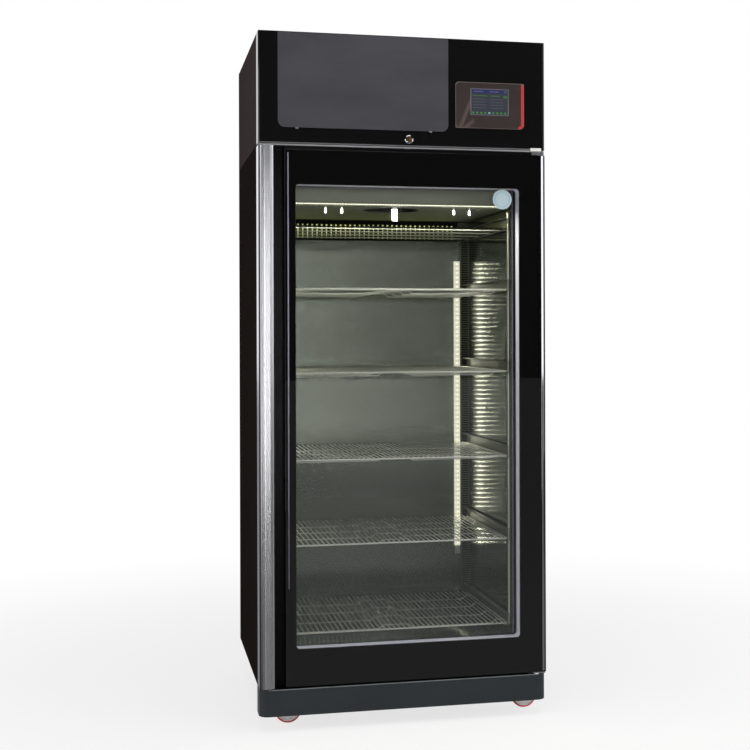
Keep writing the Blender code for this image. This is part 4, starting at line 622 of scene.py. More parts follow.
@dataclass(frozen=True)
class LensCells(Finish):
    """A lit lens over a row of chips, with a thin darker line between one chip's cell and the next."""

    start: float = 0.0
    pitch: float = 0.0158
    line_edge: Pair = (0.05, 0.45)
    line_shade: float = 0.78
    under: Colour = (0.3, 0.3, 0.26)

    def paint(self, graph: Graph) -> None:
        """Sets the nodes of the material."""
        cell = graph.cell(graph.axes()[2] - self.start, self.pitch).ramp(*self.line_edge)
        cloud = graph.noise((40, 40, 40), 1)
        lit = graph.mix(cell, shade(self.colour, self.line_shade), self.varied(graph, cloud, (0.92, 1.0)))
        graph.surface(Base_Color=self.under, Roughness=cloud * 0.1 + 0.3, Emission_Color=lit,
                      Emission_Strength=1.0)


@dataclass(frozen=True)
class SpacerBar(Finish):
    """Satin aluminium spacer with a dark sealing line along its depth."""

    line: Pair = (0.0, 1.0)
    line_edge: float = 0.0015
    sealant: Colour = tone(26, 26, 46)

    def paint(self, graph: Graph) -> None:
        """Sets the nodes of the material."""
        start, end = self.line
        dark = graph.axes()[1].band((start - self.line_edge, start), (end, end + self.line_edge))
        grain = graph.noise((60, 60, 60), 2)
        pale = self.varied(graph, grain, (0.94, 1.0))
        graph.surface(Base_Color=graph.mix(dark, pale, self.sealant), Metallic=0.3,
                      Roughness=grain * 0.1 + 0.38)


@dataclass(frozen=True)
class ScreenImage(Finish):
    """The display's picture: a plain generic page of bars, rows and dots behind a glossy cover."""

    low: Pair = (0.0, 0.0)
    high: Pair = (1.0, 1.0)
    rows: Tuple[Tuple[float, float, float, float, Colour], ...] = ()
    bar_radius: float = 0.01
    bar_edge: Pair = (-0.006, 0.006)
    rim_radius: float = 0.02
    rim_edge: Pair = (-0.028, -0.018)
    rim: Colour = tone(128, 126, 130)
    cover: Colour = tone(16, 16, 18)
    strength: float = 0.62

    def paint(self, graph: Graph) -> None:
        """Sets the nodes of the material."""
        across, _, up = graph.axes()
        share_x = (across - self.low[0]) / (self.high[0] - self.low[0])
        share_y = (up - self.low[1]) / (self.high[1] - self.low[1])
        cloud = graph.noise((120, 120, 160), 2)
        shown = self.varied(graph, cloud, (0.85, 1.15))
        for left, bottom, right, top, colour in self.rows:
            bar = graph.outline(share_x, share_y, (left, bottom), (right, top), self.bar_radius)
            shown = graph.mix(bar.fall(*self.bar_edge), shown, colour)
        rim = graph.outline(share_x, share_y, (0.0, 0.0), (1.0, 1.0), self.rim_radius).ramp(*self.rim_edge)
        graph.surface(Base_Color=self.cover, Roughness=cloud * 0.04 + 0.10,
                      Emission_Color=graph.mix(rim, shown, self.rim), Emission_Strength=self.strength)


@dataclass(frozen=True)
class OverlayPlate(Finish):
    """The control panel's brown-grey overlay with pale slanting bands and a thin red line at two edges."""

    low: Pair = (0.0, 0.0)
    high: Pair = (1.0, 1.0)
    line: Colour = (0.5, 0.02, 0.03)
    pale: Colour = (0.1, 0.08, 0.08)
    rim: Colour = tone(122, 108, 106)
    corner_radius: float = 0.013
    slopes: Pair = (0.42, 1.25)
    narrow_band: Tuple[Pair, Pair] = ((0.006, 0.009), (0.018, 0.021))
    wide_band: Tuple[Pair, Pair] = ((0.018, 0.022), (0.036, 0.040))
    band_end: Pair = (0.050, 0.064)
    stripe_start: Pair = (0.0092, 0.0098)
    stripe_end: Pair = (-0.0012, -0.0006)
    corner_inset: Pair = (-0.0094, -0.0088)
    corner_start: Pair = (0.0165, 0.019)
    corner_top: Pair = (0.012, 0.014)
    rim_inset: Pair = (-0.0018, -0.0010)
    rim_strength: float = 0.7

    def paint(self, graph: Graph) -> None:
        """Sets the nodes of the material."""
        across, _, up = graph.axes()
        aside, above, short = across - self.low[0], up - self.low[1], self.high[0] - across
        narrow = (aside - above * self.slopes[0]).band(*self.narrow_band)
        wide = (aside - above * self.slopes[1]).band(*self.wide_band)
        bands = narrow.most(wide) * aside.fall(*self.band_end)
        cloud = graph.noise((18, 18, 18), 3)
        body = graph.mix(bands, self.varied(graph, cloud, (0.9, 1.12)), self.pale)
        edge = graph.outline(across, up, self.low, self.high, self.corner_radius)
        corner = edge.ramp(*self.corner_inset) * above.fall(*self.corner_top)
        corner = corner * short.fall(*self.corner_start)
        stripe = short.fall(*self.stripe_start).most(corner) * edge.fall(*self.stripe_end)
        rim = edge.ramp(*self.rim_inset) * self.rim_strength
        graph.surface(Base_Color=graph.mix(stripe, graph.mix(rim, body, self.rim), self.line),
                      Roughness=cloud * 0.08 + 0.26, Coat_Weight=0.3, Coat_Roughness=0.08)


CASING = PaintedMetal("casing_black", "body_black", tone(31, 26, 24), 0.6, 0.00003, specular=0.0)
HEADER_GLOSS = PaintedMetal("header_gloss_black", "header_black", tone(17, 17, 17), 0.07, 0.000004, 260.0)
SIDE_PANEL = PaintedMetal("side_panel_black", "panel_black", tone(60, 52, 52), 0.6, 0.00003, specular=0.0)
MACHINE_BLACK = PaintedMetal("machine_enamel", "machine_black", tone(16, 16, 17), 0.18, 0.00003, 420.0)
PLINTH = PaintedMetal("plinth_slate", "plinth_slate", tone(42, 48, 51), 0.24, 0.00002)
# A painted highlight: the pale line where the kick panel's folded top edge catches the light.
PLINTH_HIGHLIGHT = PaintedMetal("plinth_painted_highlight", "plinth_slate", tone(122, 128, 130), 0.35, 0.00001)
BAR_FOOT = PaintedMetal("bar_foot", "diffuser", tone(200, 202, 190), 0.45, specular=0.3)
# Painted shade: near-black blocks stand for the shade inside the rack's slots.
SLOT_SHADE = PaintedMetal("slot_painted_shade", "stainless", tone(22, 22, 18), 0.5, specular=0.2)
# Painted shade: a near-black sheet for the shade in the recess round the vents.
VENT_SHADE = PaintedMetal("vent_painted_shade", "stainless", tone(12, 13, 8), 0.6, specular=0.05)
FOAM = Foam("rigid_foam", "foam", tone(228, 212, 170))
LINER = PolishedSheet("liner_steel", "stainless", tone(152, 158, 146), 0.22)
STEEL = BrushedMetal("brushed_steel", "stainless", tone(166, 168, 158), 0.30, Grain.ALONG_X)
COVER_STEEL = BrushedMetal("cover_steel", "stainless", tone(168, 172, 154), 0.40, Grain.ALONG_X, metal=0.5)
STRIP_STEEL = BrushedMetal("strip_steel", "stainless", tone(158, 158, 161), 0.34, Grain.ALONG_X, metal=0.4)
# A painted highlight: the pale line where the header's rounded lower edge catches the light.
HEADER_EDGE_HIGHLIGHT = BrushedMetal("header_edge_painted_highlight", "header_black", tone(112, 112, 114), 0.38, Grain.ALONG_X, metal=0.3)
RACK = BrushedMetal("rack_steel", "stainless", tone(104, 106, 92), 0.32, Grain.ALONG_Z, 0.000004, metal=0.75)
# A painted highlight: a pale lip along each front upright's rolled edge, brighter than the rack.
RACK_EDGE_HIGHLIGHT = BrushedMetal("rack_edge_highlight", "stainless", tone(236, 234, 216), 0.34, Grain.ALONG_Z, 0.000003, 0.05,
                        0.3)
ZINC = BrushedMetal("zinc_plate", "zinc", tone(196, 198, 200), 0.30, Grain.CAST, 0.00002)
# Lit and shaded copies of one wire: the rims' paler, less metallic copy is a painted highlight.
WIRE = BrushedMetal("rim_wire_painted_highlight", "wire", tone(240, 241, 230), 0.34, Grain.CAST, 0.000004, 0.06, 0.25)
# The cross rods under the wires take a darker copy as painted shade.
SHADED_ROD = BrushedMetal("rod_painted_shade", "wire", tone(200, 202, 192), 0.34, Grain.CAST, 0.000004, 0.06, 0.4)
PLATED_WIRE = BrushedMetal("plated_wire", "wire", tone(216, 218, 208), 0.34, Grain.CAST, 0.000003, 0.06, 0.55)
# The hanging rack takes a near-black copy as painted shade.
SHADED_WIRE = BrushedMetal("wire_painted_shade", "wire", tone(50, 51, 42), 0.50, Grain.CAST, 0.000004, 0.06)
BEAD = BrushedMetal("dark_chrome", "frame_black", tone(170, 170, 174), 0.07, Grain.ALONG_Z, 0.000001, 0.03)
GLASS_BEAD = BrushedMetal("glass_bead_metal", "frame_black", tone(140, 134, 150), 0.28, Grain.ALONG_Z,
                          0.000002, 0.04)
CHROME = BrushedMetal("chrome_plate", "chrome", tone(224, 224, 228), 0.08, Grain.CAST, 0.000001, 0.03)
BRASS = BrushedMetal("dark_brass", "key_brass", tone(120, 92, 70), 0.32, Grain.CAST, 0.000006)
COPPER = BrushedMetal("drawn_copper", "copper", tone(206, 132, 98), 0.26, Grain.CAST, 0.00001, 0.15)
# The grip's bands carry painted shade and painted highlights.
GRIP = GripMetal("grip_aluminium", "grip_aluminium", tone(188, 188, 191))
FIN = Fins("fin_aluminium", "fin_aluminium", tone(205, 206, 206))
FRAME_BLACK = Plastic("frame_black", "frame_black", tone(11, 11, 11), 0.30, specular=0.12)
SEAL = Plastic("seal_rubber", "seal", tone(42, 42, 42), 0.62, 0.00004)
BLACK_PLASTIC = Plastic("black_plastic", "black_plastic", tone(30, 30, 31), 0.48)
WHITE_PLASTIC = Plastic("white_plastic", "white_plastic", tone(236, 236, 230), 0.35)
RED_TREAD = Plastic("red_tread", "wheel_red", tone(236, 36, 62), 0.42, 0.00003)
PALE_CORE = Plastic("pale_core", "wheel_red", tone(255, 250, 250), 0.46, 0.00003)
BOARD = Slate("chalk_board", "board", tone(62, 62, 69))
LAMP = Glow("lamp_chip", "diffuser", tone(250, 250, 218), 3.5)
SIDE_LAMP = Glow("side_lamp_chip", "diffuser", tone(252, 251, 224), 1.1)
STRIP_LENS = Glow("strip_lens", "diffuser", tone(236, 238, 206), 0.15, (0.35, 0.35, 0.3))
# The vent slots glow as painted light, though they are no lamp.
VENT_GLOW = Glow("vent_painted_glow", "stainless", tone(212, 224, 110), 0.95)


def dress(item: bpy.types.Object, look: Finish) -> None:
    """Gives an object one finish in all its slots.

    Args:
        item: A mesh object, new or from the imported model.
        look: The finish.
    """
    material = look.build()
    slots = item.material_slots
    if not slots:
        item.data.materials.append(material)
    for place in slots:
        place.material = material


def area_lamp(name: str, place: Point, size: Pair, power: float) -> bpy.types.Object:
    """Adds one rectangular lamp to the scene.

    Args:
        name: The lamp's name.
        place: Its centre.
        size: Its width and height.
        power: Its power in watts.

    Returns:
        The lamp, which shines along its own -Z.
    """
    data = bpy.data.lights.new(name, "AREA")
    data.shape, data.energy = "RECTANGLE", power
    data.size, data.size_y = size
    item = bpy.data.objects.new(name, data)
    item.location = place
    bpy.context.scene.collection.objects.link(item)
    return item


def both_ways(profile: Profile) -> List[Pair]:
    """A closed turned profile from its lower half and that half's mirror image.

    Args:
        profile: Radius and height pairs of the lower half, from the inside to the middle.

    Returns:
        The whole profile, which ends where it starts.
    """
    upper = [(radius, -height) for radius, height in reversed(profile)]
    return [*profile, *upper, profile[0]]


def verts_of(geom: Iterable[object]) -> List[bmesh.types.BMVert]:
    """The vertices among vertices, edges and faces."""
    return [item for item in geom if isinstance(item, bmesh.types.BMVert)]


def soft_edges(item: bpy.types.Object, width: float) -> None:
    """Adds a live bevel that rounds an object's sharp edges.

    Args:
        item: The object.
        width: The width of the rounding.
    """
    bevel = item.modifiers.new("soft_edges", "BEVEL")
    bevel.width = width
    bevel.segments = 2
    bevel.limit_method = "ANGLE"
    bevel.angle_limit = math.radians(SHARP_ANGLE)
    flat = item.modifiers.new("flat_faces", "WEIGHTED_NORMAL")
    flat.mode, flat.weight, flat.keep_sharp = "FACE_AREA", 50, True


class Solid:
    """A shape being modelled with mesh operators, in the cabinet's frame."""

    def __init__(self) -> None:
        """Starts empty."""
        self.bm = bmesh.new()

    @classmethod
    def block(cls, low: Sequence[float], high: Sequence[float]) -> "Solid":
        """A rectangular block.

        Args:
            low: Its lower corner.
            high: Its higher corner.

        Returns:
            The shape.
        """
        solid = cls()
        size = Vector(high) - Vector(low)
        middle = (Vector(high) + Vector(low)) / 2
        bmesh.ops.create_cube(solid.bm, size=1,
                              matrix=Matrix.Translation(middle) @ Matrix.Diagonal((*size, 1)))
        return solid

    @classmethod
    def face(cls, corners: Iterable[Sequence[float]]) -> "Solid":
        """One flat face.

        Args:
            corners: Its corners in order.

        Returns:
            The shape.
        """
        solid = cls()
        solid.bm.faces.new([solid.bm.verts.new(corner) for corner in corners])
        return solid

    @classmethod
    def lathe(cls, profile: Profile, centre: Sequence[float], axis: Sequence[float], steps: int) -> "Solid":
        """A turned shape.

        Args:
            profile: Radius and height pairs, from one end of the axis to the other.
            centre: The point at height zero.
            axis: The direction of the axis.
            steps: The number of facets.

        Returns:
            The shape.
        """
        solid = cls()
        turn = Vector((0, 0, 1)).rotation_difference(Vector(axis).normalized()).to_matrix().to_4x4()
        verts = [solid.bm.verts.new((radius, 0, height)) for radius, height in profile]
        edges = [solid.bm.edges.new(pair) for pair in zip(verts, verts[1:])]
        bmesh.ops.spin(solid.bm, geom=verts + edges, cent=(0, 0, 0), axis=(0, 0, 1), dvec=(0, 0, 0),
                       angle=math.tau, steps=steps, use_merge=True, use_duplicate=False)
        bmesh.ops.remove_doubles(solid.bm, verts=solid.bm.verts, dist=1e-7)
        bmesh.ops.transform(solid.bm, matrix=Matrix.Translation(Vector(centre)) @ turn, verts=solid.bm.verts)
        return solid

    @classmethod
    def tube(cls, path: Sequence[Sequence[float]], radius: float, sides: int = 8) -> "Solid":
        """A round rod along a path, mitred at each point.

        Args:
            path: The points of its centre line.
            radius: Its radius.
            sides: Its facets.

        Returns:
            The shape.
        """
        solid = cls()
        points = [Vector(point) for point in path]
        start = (points[1] - points[0]).normalized()
        turn = Vector((0, 0, 1)).rotation_difference(start).to_matrix().to_4x4()
        made = bmesh.ops.create_circle(solid.bm, cap_ends=True, segments=sides, radius=radius,
                                       matrix=Matrix.Translation(points[0]) @ turn)
        face = made["verts"][0].link_faces[0]
        for index in range(1, len(points)):
            way = (points[index] - points[index - 1]).normalized()
            after = (points[index + 1] - points[index]).normalized() if index + 1 < len(points) else way
            plane = (way + after).normalized()
            kept = index == 1
            made = bmesh.ops.extrude_face_region(solid.bm, geom=[face], use_keep_orig=kept)
            if not kept:
                bmesh.ops.delete(solid.bm, geom=[face], context="FACES_ONLY")
            face = [item for item in made["geom"] if isinstance(item, bmesh.types.BMFace)][0]
            for vert in face.verts:
                vert.co += way * ((points[index] - vert.co).dot(plane) / way.dot(plane))
        return solid

    def extrude(self, offset: Sequence[float]) -> "Solid":
        """Extrudes all faces and closes the shape.

        Args:
            offset: The way that the new faces go.

        Returns:
            The shape itself.
        """
        made = bmesh.ops.extrude_face_region(self.bm, geom=self.bm.faces[:], use_keep_orig=True)
        bmesh.ops.translate(self.bm, verts=verts_of(made["geom"]), vec=offset)
        return self

    def round_corners(self, radii: Sequence[float], segments: int) -> "Solid":
        """Rounds the corners of a flat face.

        Args:
            radii: One radius for each corner, in the order that they were given.
            segments: The facets of each corner.

        Returns:
            The shape itself.
        """
        self.bm.verts.ensure_lookup_table()
        for vert, radius in zip(self.bm.verts[:], radii):
            bmesh.ops.bevel(self.bm, geom=[vert], offset=radius, offset_type="OFFSET", segments=segments,
                            profile=0.5, affect="VERTICES", material=-1)
        return self

    def bevel(self, width: float, segments: int) -> "Solid":
        """Rounds the sharp edges.

        Args:
            width: The width of the rounding.
            segments: Its facets.

        Returns:
            The shape itself.
        """
        bmesh.ops.recalc_face_normals(self.bm, faces=self.bm.faces)
        sharp = [edge for edge in self.bm.edges
                 if len(edge.link_faces) == 2 and edge.calc_face_angle() > math.radians(SHARP_ANGLE)]
        bmesh.ops.bevel(self.bm, geom=sharp, offset=width, offset_type="OFFSET", segments=segments,
                        profile=0.5, affect="EDGES", material=-1, clamp_overlap=True)
        return self

    def copies(self, offsets: Iterable[Sequence[float]]) -> "Solid":
        """Repeats the shape at each offset and removes the first.

        Args:
            offsets: How far each copy goes.

        Returns:
            The shape itself.
        """
        first = self.bm.verts[:] + self.bm.edges[:] + self.bm.faces[:]
        for offset in offsets:
            made = bmesh.ops.duplicate(self.bm, geom=first)
            bmesh.ops.translate(self.bm, verts=verts_of(made["geom"]), vec=offset)
        bmesh.ops.delete(self.bm, geom=verts_of(first), context="VERTS")
        return self

    def join(self, other: "Solid") -> "Solid":
        """Takes in another shape.

        Args:
            other: The shape, which is used up.

        Returns:
            The shape itself.
        """
        mesh = bpy.data.meshes.new("join")
        other.bm.to_mesh(mesh)
        self.bm.from_mesh(mesh)
        bpy.data.meshes.remove(mesh)
        other.bm.free()
        return self

    def piece(self, name: str, look: Finish, body: str, *nodes: str, sharp: float = 35.0,
              soften: float = 0.0) -> bpy.types.Object:
        """Turns the shape into a finished piece.

        Args:
            name: The piece's name.
            look: Its finish.
            body: The body that it rides on.
            nodes: The model's nodes that it stands for.
            sharp: The angle in degrees above which an edge stays sharp.
            soften: The width of a bevel that stays live, or 0.

        Returns:
            The object.
        """
        bmesh.ops.recalc_face_normals(self.bm, faces=self.bm.faces)
        mesh = bpy.data.meshes.new(name)
        self.bm.to_mesh(mesh)
        self.bm.free()
        item = bpy.data.objects.new(name, mesh)
        bpy.context.scene.collection.objects.link(item)
        mesh.shade_smooth()
        mesh.set_sharp_from_angle(angle=math.radians(sharp))
        if soften:
            soft_edges(item, soften)
        dress(item, look)
        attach(item, body)
        if nodes:
            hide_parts(*nodes)
        LOG.info("%s: %d faces on %s", name, len(mesh.polygons), body)
        return item


class Assembly:
    """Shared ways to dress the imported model's nodes."""

    def __init__(self, loaded: dict) -> None:
        """Keeps the loaded frame.
        """
        self.nodes = loaded["nodes"]
        self.body_of = {node: item["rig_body"] for node, item in self.nodes.items()}

    def paint(self, look: Finish, *nodes: str) -> None:
        """Gives nodes a finish and leaves their shape.

        Args:
            look: The finish.
            nodes: The nodes.
        """
        for node in nodes:
            dress(self.nodes[node], look)
            LOG.info("%s: finish %s", node, look.name)

    def refine(self, look: Finish, node: str, width: float = 0.0006, sharp: float = 32.0) -> bpy.types.Object:
        """Stands a copy with rounded edges in for a node.

        Args:
            look: The finish.
            node: The node.
            width: The width of the rounding.
            sharp: The angle in degrees above which an edge stays sharp.

        Returns:
            The new piece.
        """
        solid = Solid()
        solid.bm.from_mesh(self.nodes[node].data)
        bmesh.ops.remove_doubles(solid.bm, verts=solid.bm.verts, dist=1e-5)
        bmesh.ops.dissolve_limit(solid.bm, angle_limit=math.radians(1), verts=solid.bm.verts,
                                 edges=solid.bm.edges)
        wide = [face for face in solid.bm.faces if len(face.verts) > 4]
        bmesh.ops.triangulate(solid.bm, faces=wide, ngon_method="EAR_CLIP")
        return solid.piece(node + "_detailed", look, self.body_of[node], node, sharp=sharp, soften=width)


@dataclass
class CabinetBody:
    """The insulated body, its liner, opening trim, base rails and kick panel."""

    shared: Assembly
    kick_radius: float = 0.028
    kick_line: float = 0.0024
    kick_line_share: float = 0.9
    kick_line_proud: float = 0.0004
    kick_sheet: float = 0.002
    wall_step: float = 0.0003
    vent_pitch: float = 0.0164
    vent_half: float = 0.305
    vent_rise: Pair = (1.503, 1.551)
    vent_front: float = 0.0007
    vent_depth: float = 0.0006
    vent_widths: Pair = (0.0024, 0.0054)
    shade_sheet_margin: Point = (0.010, 0.007, 0.014)
    shade_sheet_depth: float = 0.0006

    def build(self) -> None:
        """Builds and dresses the body."""
        self.shared.refine(CASING, "outer_casing", 0.0008)
        self.shared.paint(FOAM, "insulation")
        self.shared.paint(LINER, "inner_liner")
        self.shared.refine(FRAME_BLACK, "opening_trim")
        for rail in ("base_rail_front", "base_rail_rear"):
            self.shared.refine(CASING, rail)
        self.kick_panel()
        self.kick_edge()
        self.back_vents()

    def kick_panel(self) -> None:
        """The kick panel, a sheet with two round corners."""
        low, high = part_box("kick_panel")
        solid = Solid()
        plan = [(low.x, high.y), (low.x, low.y), (high.x, low.y), (high.x, high.y)]
        verts = [solid.bm.verts.new((x, y, low.z)) for x, y in plan]
        for pair in zip(verts, verts[1:]):
            solid.bm.edges.new(pair)
        bmesh.ops.bevel(solid.bm, geom=verts[1:3], offset=self.kick_radius, offset_type="OFFSET", segments=14,
                        profile=0.5, affect="VERTICES", material=-1)
        made = bmesh.ops.extrude_edge_only(solid.bm, edges=solid.bm.edges[:])
        bmesh.ops.translate(solid.bm, verts=verts_of(made["geom"]), vec=(0, 0, high.z - low.z))
        bmesh.ops.recalc_face_normals(solid.bm, faces=solid.bm.faces)
        middle = Vector(((low.x + high.x) / 2, high.y, (low.z + high.z) / 2))
        front = min(solid.bm.faces, key=lambda face: face.calc_center_median().y)
        if front.normal.dot(front.calc_center_median() - middle) > 0:
            bmesh.ops.reverse_faces(solid.bm, faces=solid.bm.faces)
        bmesh.ops.solidify(solid.bm, geom=solid.bm.faces[:], thickness=-self.kick_sheet)
        solid.piece("kick_panel_bent", PLINTH, "cabinet", "kick_panel", sharp=40, soften=0.0004)

    def kick_edge(self) -> None:
        """A pale line on the kick panel's folded top edge, as a painted highlight."""
        low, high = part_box("kick_panel")
        inset = self.kick_radius * self.kick_line_share
        line = Solid.block((low.x + inset, low.y - self.kick_line_proud, high.z - self.kick_line),
                           (high.x - inset, low.y - CLEAR, high.z))
        line.bevel(0.0001, 1).piece("kick_top_painted_highlight", PLINTH_HIGHLIGHT, "cabinet")

    def back_vents(self) -> None:
        """Vent slots in a row on the back wall, glowing as painted light, on a dark sheet of painted shade.
        """
        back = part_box("led_bar_right")[1].y + self.wall_step
        bottom, top = self.vent_rise
        side, below, above = self.shade_sheet_margin
        recess = Solid.block((-self.vent_half - side, back - self.shade_sheet_depth, bottom - below),
                             (self.vent_half + side, back - CLEAR, top + above))
        # The sheet stands in front of the back wall as painted shade, not as a real recess.
        recess.bevel(0.0002, 1).piece("back_vent_painted_shade", VENT_SHADE, "cabinet")
        count = int(2 * self.vent_half / self.vent_pitch)
        start = -self.vent_pitch * (count - 1) / 2
        foot, head = (width / 2 for width in self.vent_widths)
        front = back - self.vent_front
        slot = Solid.face([(-foot, front, bottom), (foot, front, bottom), (head, front, top),
                           (-head, front, top)])
        slot.extrude((0, -self.vent_depth, 0)).bevel(0.0002, 1)
        slot.copies([(start + self.vent_pitch * index, 0, 0) for index in range(count)])
        # The slots glow as painted light.
        slot.piece("back_vent_painted_glow_slots", VENT_GLOW, "cabinet")


@dataclass
class Castor:
    """One swivel castor: a pressed fork and a wheel with a red tread."""

    shared: Assembly
    corner: str
    tread: float = 0.0055
    tread_inset: float = 0.0015
    tread_rounding: Profile = ((0.0025, 0.001), (0.0007, 0.003), (0.0, 0.006))
    core_dish: float = 0.004
    core_flange: Pair = (0.005, 0.002)
    core_gap: float = 0.0002
    core_step: float = 0.0005
    hub: float = 0.0125
    hub_chamfer: float = 0.001
    bore: float = 0.0042

    def build(self) -> None:
        """Builds and dresses the castor."""
        self.shared.refine(ZINC, f"castor_{self.corner}_fork", 0.0005)
        node = f"castor_{self.corner}_wheel"
        low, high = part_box(node)
        body = self.shared.body_of[node]
        radius, middle = (high.z - low.z) / 2, (low + high) / 2
        half = (high.y - low.y) / 2
        face, rim = half - self.tread_inset, radius - self.tread
        dish, edge = face - self.core_dish, self.core_step - face
        hub, chamfer = self.hub, self.hub_chamfer
        tread = [(radius - inset, step - face) for inset, step in self.tread_rounding]
        tread = both_ways([(rim, tread[0][1]), *tread])
        core = both_ways([(self.bore, -half), (hub, -half), (hub + chamfer, chamfer - half),
                          (hub + 2 * chamfer, -dish), (rim - self.core_flange[0], -dish),
                          (rim - self.core_flange[1], edge), (rim - self.core_gap, edge)])
        Solid.lathe(tread, middle, (0, 1, 0), 72).piece(f"castor_{self.corner}_tread", RED_TREAD, body)
        Solid.lathe(core, middle, (0, 1, 0), 72).piece(f"castor_{self.corner}_core", PALE_CORE, body, node)


@dataclass
class Door:
    """The glass door with its frame, spacer, seal, grip and edge strips."""

    shared: Assembly
    window_radius: float = 0.010
    window_inset: float = 0.004
    sealing_line: Pair = (0.80, 1.1)
    inner_line: Pair = (0.0115, 0.0085)
    inner_line_start: float = 0.008
    inner_line_widths: Pair = (0.0030, 0.0024)
    inner_line_depths: Pair = (0.0024, 0.0004)
    bead_width: float = 0.0072
    bead_proud: float = 0.0028
    bead_slopes: Pair = (9.0, 19.0)
    bead_steps: int = 8
    bead_edge: float = 0.06
    bead_crest: float = 0.88
    bead_shoulder: float = 0.86
    bead_lip: float = 0.12
    bead_ends: Pair = (0.004, 0.0092)
    strip_proud: float = 0.0016
    strip_height: float = 0.0047
    strip_back: float = 0.003
    strip_inset: float = 0.0005
    glass_bead_inset: float = 0.0083
    glass_bead_width: float = 0.0036
    glass_bead_proud: float = 0.0009
    glass_bead_foot: float = 0.420
    glass_bead_end: float = 0.010
    glass_bead_section: Profile = ((0, 0), (0.12, 0.7), (0.35, 1), (0.65, 1), (0.88, 0.7), (1, 0))
    label_radius: float = 0.030
    label_sheet: float = 0.00025
    label_place: Pair = (0.305, 1.585)

    def build(self) -> None:
        """Builds and dresses the door."""
        self.panes()
        self.inner_edge()
        self.shared.refine(SEAL, "door_gasket", 0.0010)
        self.shared.refine(ZINC, "lock_strike", 0.0004)
        self.shared.refine(GRIP, "door_handle")
        self.edge_bead()
        self.head_strip()
        self.glass_bead()
        self.label()

    def panes(self) -> None:
        """Both panes, the frame, and the spacer that lines the window."""
        low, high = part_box("glazing_spacer")
        inset, deep = self.window_inset, high.y - low.y
        glass = PrintedGlass("door_glass_print", "door_glass", tone(196, 200, 200),
                             (low.x + inset, low.z + inset), (high.x - inset, high.z - inset),
                             self.window_radius, 0.07)
        film = PrintedGlass("inner_glass_film", "door_glass", tone(190, 200, 190), (-1, 0), (1, 2), film=0.05)
        spacer = SpacerBar("spacer_aluminium", "spacer", tone(226, 226, 242),
                           tuple(low.y + deep * share for share in self.sealing_line))
        self.shared.refine(glass, "outer_glass")
        self.shared.refine(film, "inner_glass", 0.0005)
        self.shared.refine(FRAME_BLACK, "door_frame", 0.0008)
        self.shared.refine(spacer, "glazing_spacer", 0.0003)

    def inner_edge(self) -> None:
        """The window's second line, along its head and its hinge side."""
        low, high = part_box("glazing_spacer")
        right, top = high.x - self.inner_line[0], high.z - self.inner_line[1]
        front, back = (high.y - depth for depth in self.inner_line_depths)
        side, head = self.inner_line_widths
        line = Solid.block((right - side, front, low.z + self.inner_line_start), (right, back, top))
        line.join(Solid.block((low.x + self.inner_line_start, front, top), (right, back, top + head)))
        line.bevel(0.0004, 2).piece("window_inner_line", GLASS_BEAD, "door")

    def edge_bead(self) -> None:
        """The convex bead along the hinge edge."""
        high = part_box("outer_glass")[1]
        frame_low, frame_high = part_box("door_frame")
        start, bottom, top = high.x + LIFT, frame_low.z + self.bead_ends[0], frame_high.z - self.bead_ends[1]
        section = [(0.0, 0.0), (0.0, self.bead_shoulder), (self.bead_edge, 1.0)]
        flattest, steepest = self.bead_slopes
        for index in range(1, self.bead_steps + 1):
            share = self.bead_crest * index / self.bead_steps
            slope = flattest + (steepest - flattest) * index / (2 * self.bead_steps)
            drop = self.bead_width / self.bead_proud * share * math.tan(math.radians(slope))
            section.append((self.bead_edge + share, 1.0 - drop))
        section += [(1.0, section[-1][1] - self.bead_lip), (1.0, 0.0)]
        bead = Solid.face([(start + self.bead_width * across, FACE_Y - LIFT - self.bead_proud * proud, bottom)
                           for across, proud in section])
        bead.extrude((0, 0, top - bottom)).piece("door_edge_bead", BEAD, "door", sharp=50)

    def head_strip(self) -> None:
        """The bright capping along the door's head, grip and all."""
        low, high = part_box("door_handle")
        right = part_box("outer_glass")[1].x
        strip = Solid.block((low.x + self.strip_inset, FACE_Y - self.strip_proud, high.z + LIFT),
                            (right, FACE_Y + self.strip_back, high.z + self.strip_height))
        strip.bevel(0.0007, 3).piece("door_head_strip", STRIP_STEEL, "door")

    def glass_bead(self) -> None:
        """The slim polished bead on the glass beside the finger recess."""
        low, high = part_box("outer_glass")
        bead = Solid.face([(low.x + self.glass_bead_inset + across * self.glass_bead_width,
                            FACE_Y - LIFT - proud * self.glass_bead_proud, self.glass_bead_foot)
                           for across, proud in self.glass_bead_section])
        bead.extrude((0, 0, high.z - self.glass_bead_foot - self.glass_bead_end))
        bead.piece("glass_edge_bead", GLASS_BEAD, "door", sharp=50)

    def label(self) -> None:
        """A bare round label on the inside of the outer glass."""
        across, up = self.label_place
        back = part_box("outer_glass")[1].y + LIFT
        radius, sheet = self.label_radius, self.label_sheet
        profile = [(0, 0), (radius, 0), (radius, sheet), (0, sheet)]
        disc = Solid.lathe(profile, (across, back, up), (0, 1, 0), 64)
        paper = RingLabel("bare_label", "white_plastic", tone(206, 226, 234), self.label_place, radius)
        disc.piece("round_label", paper, "door")


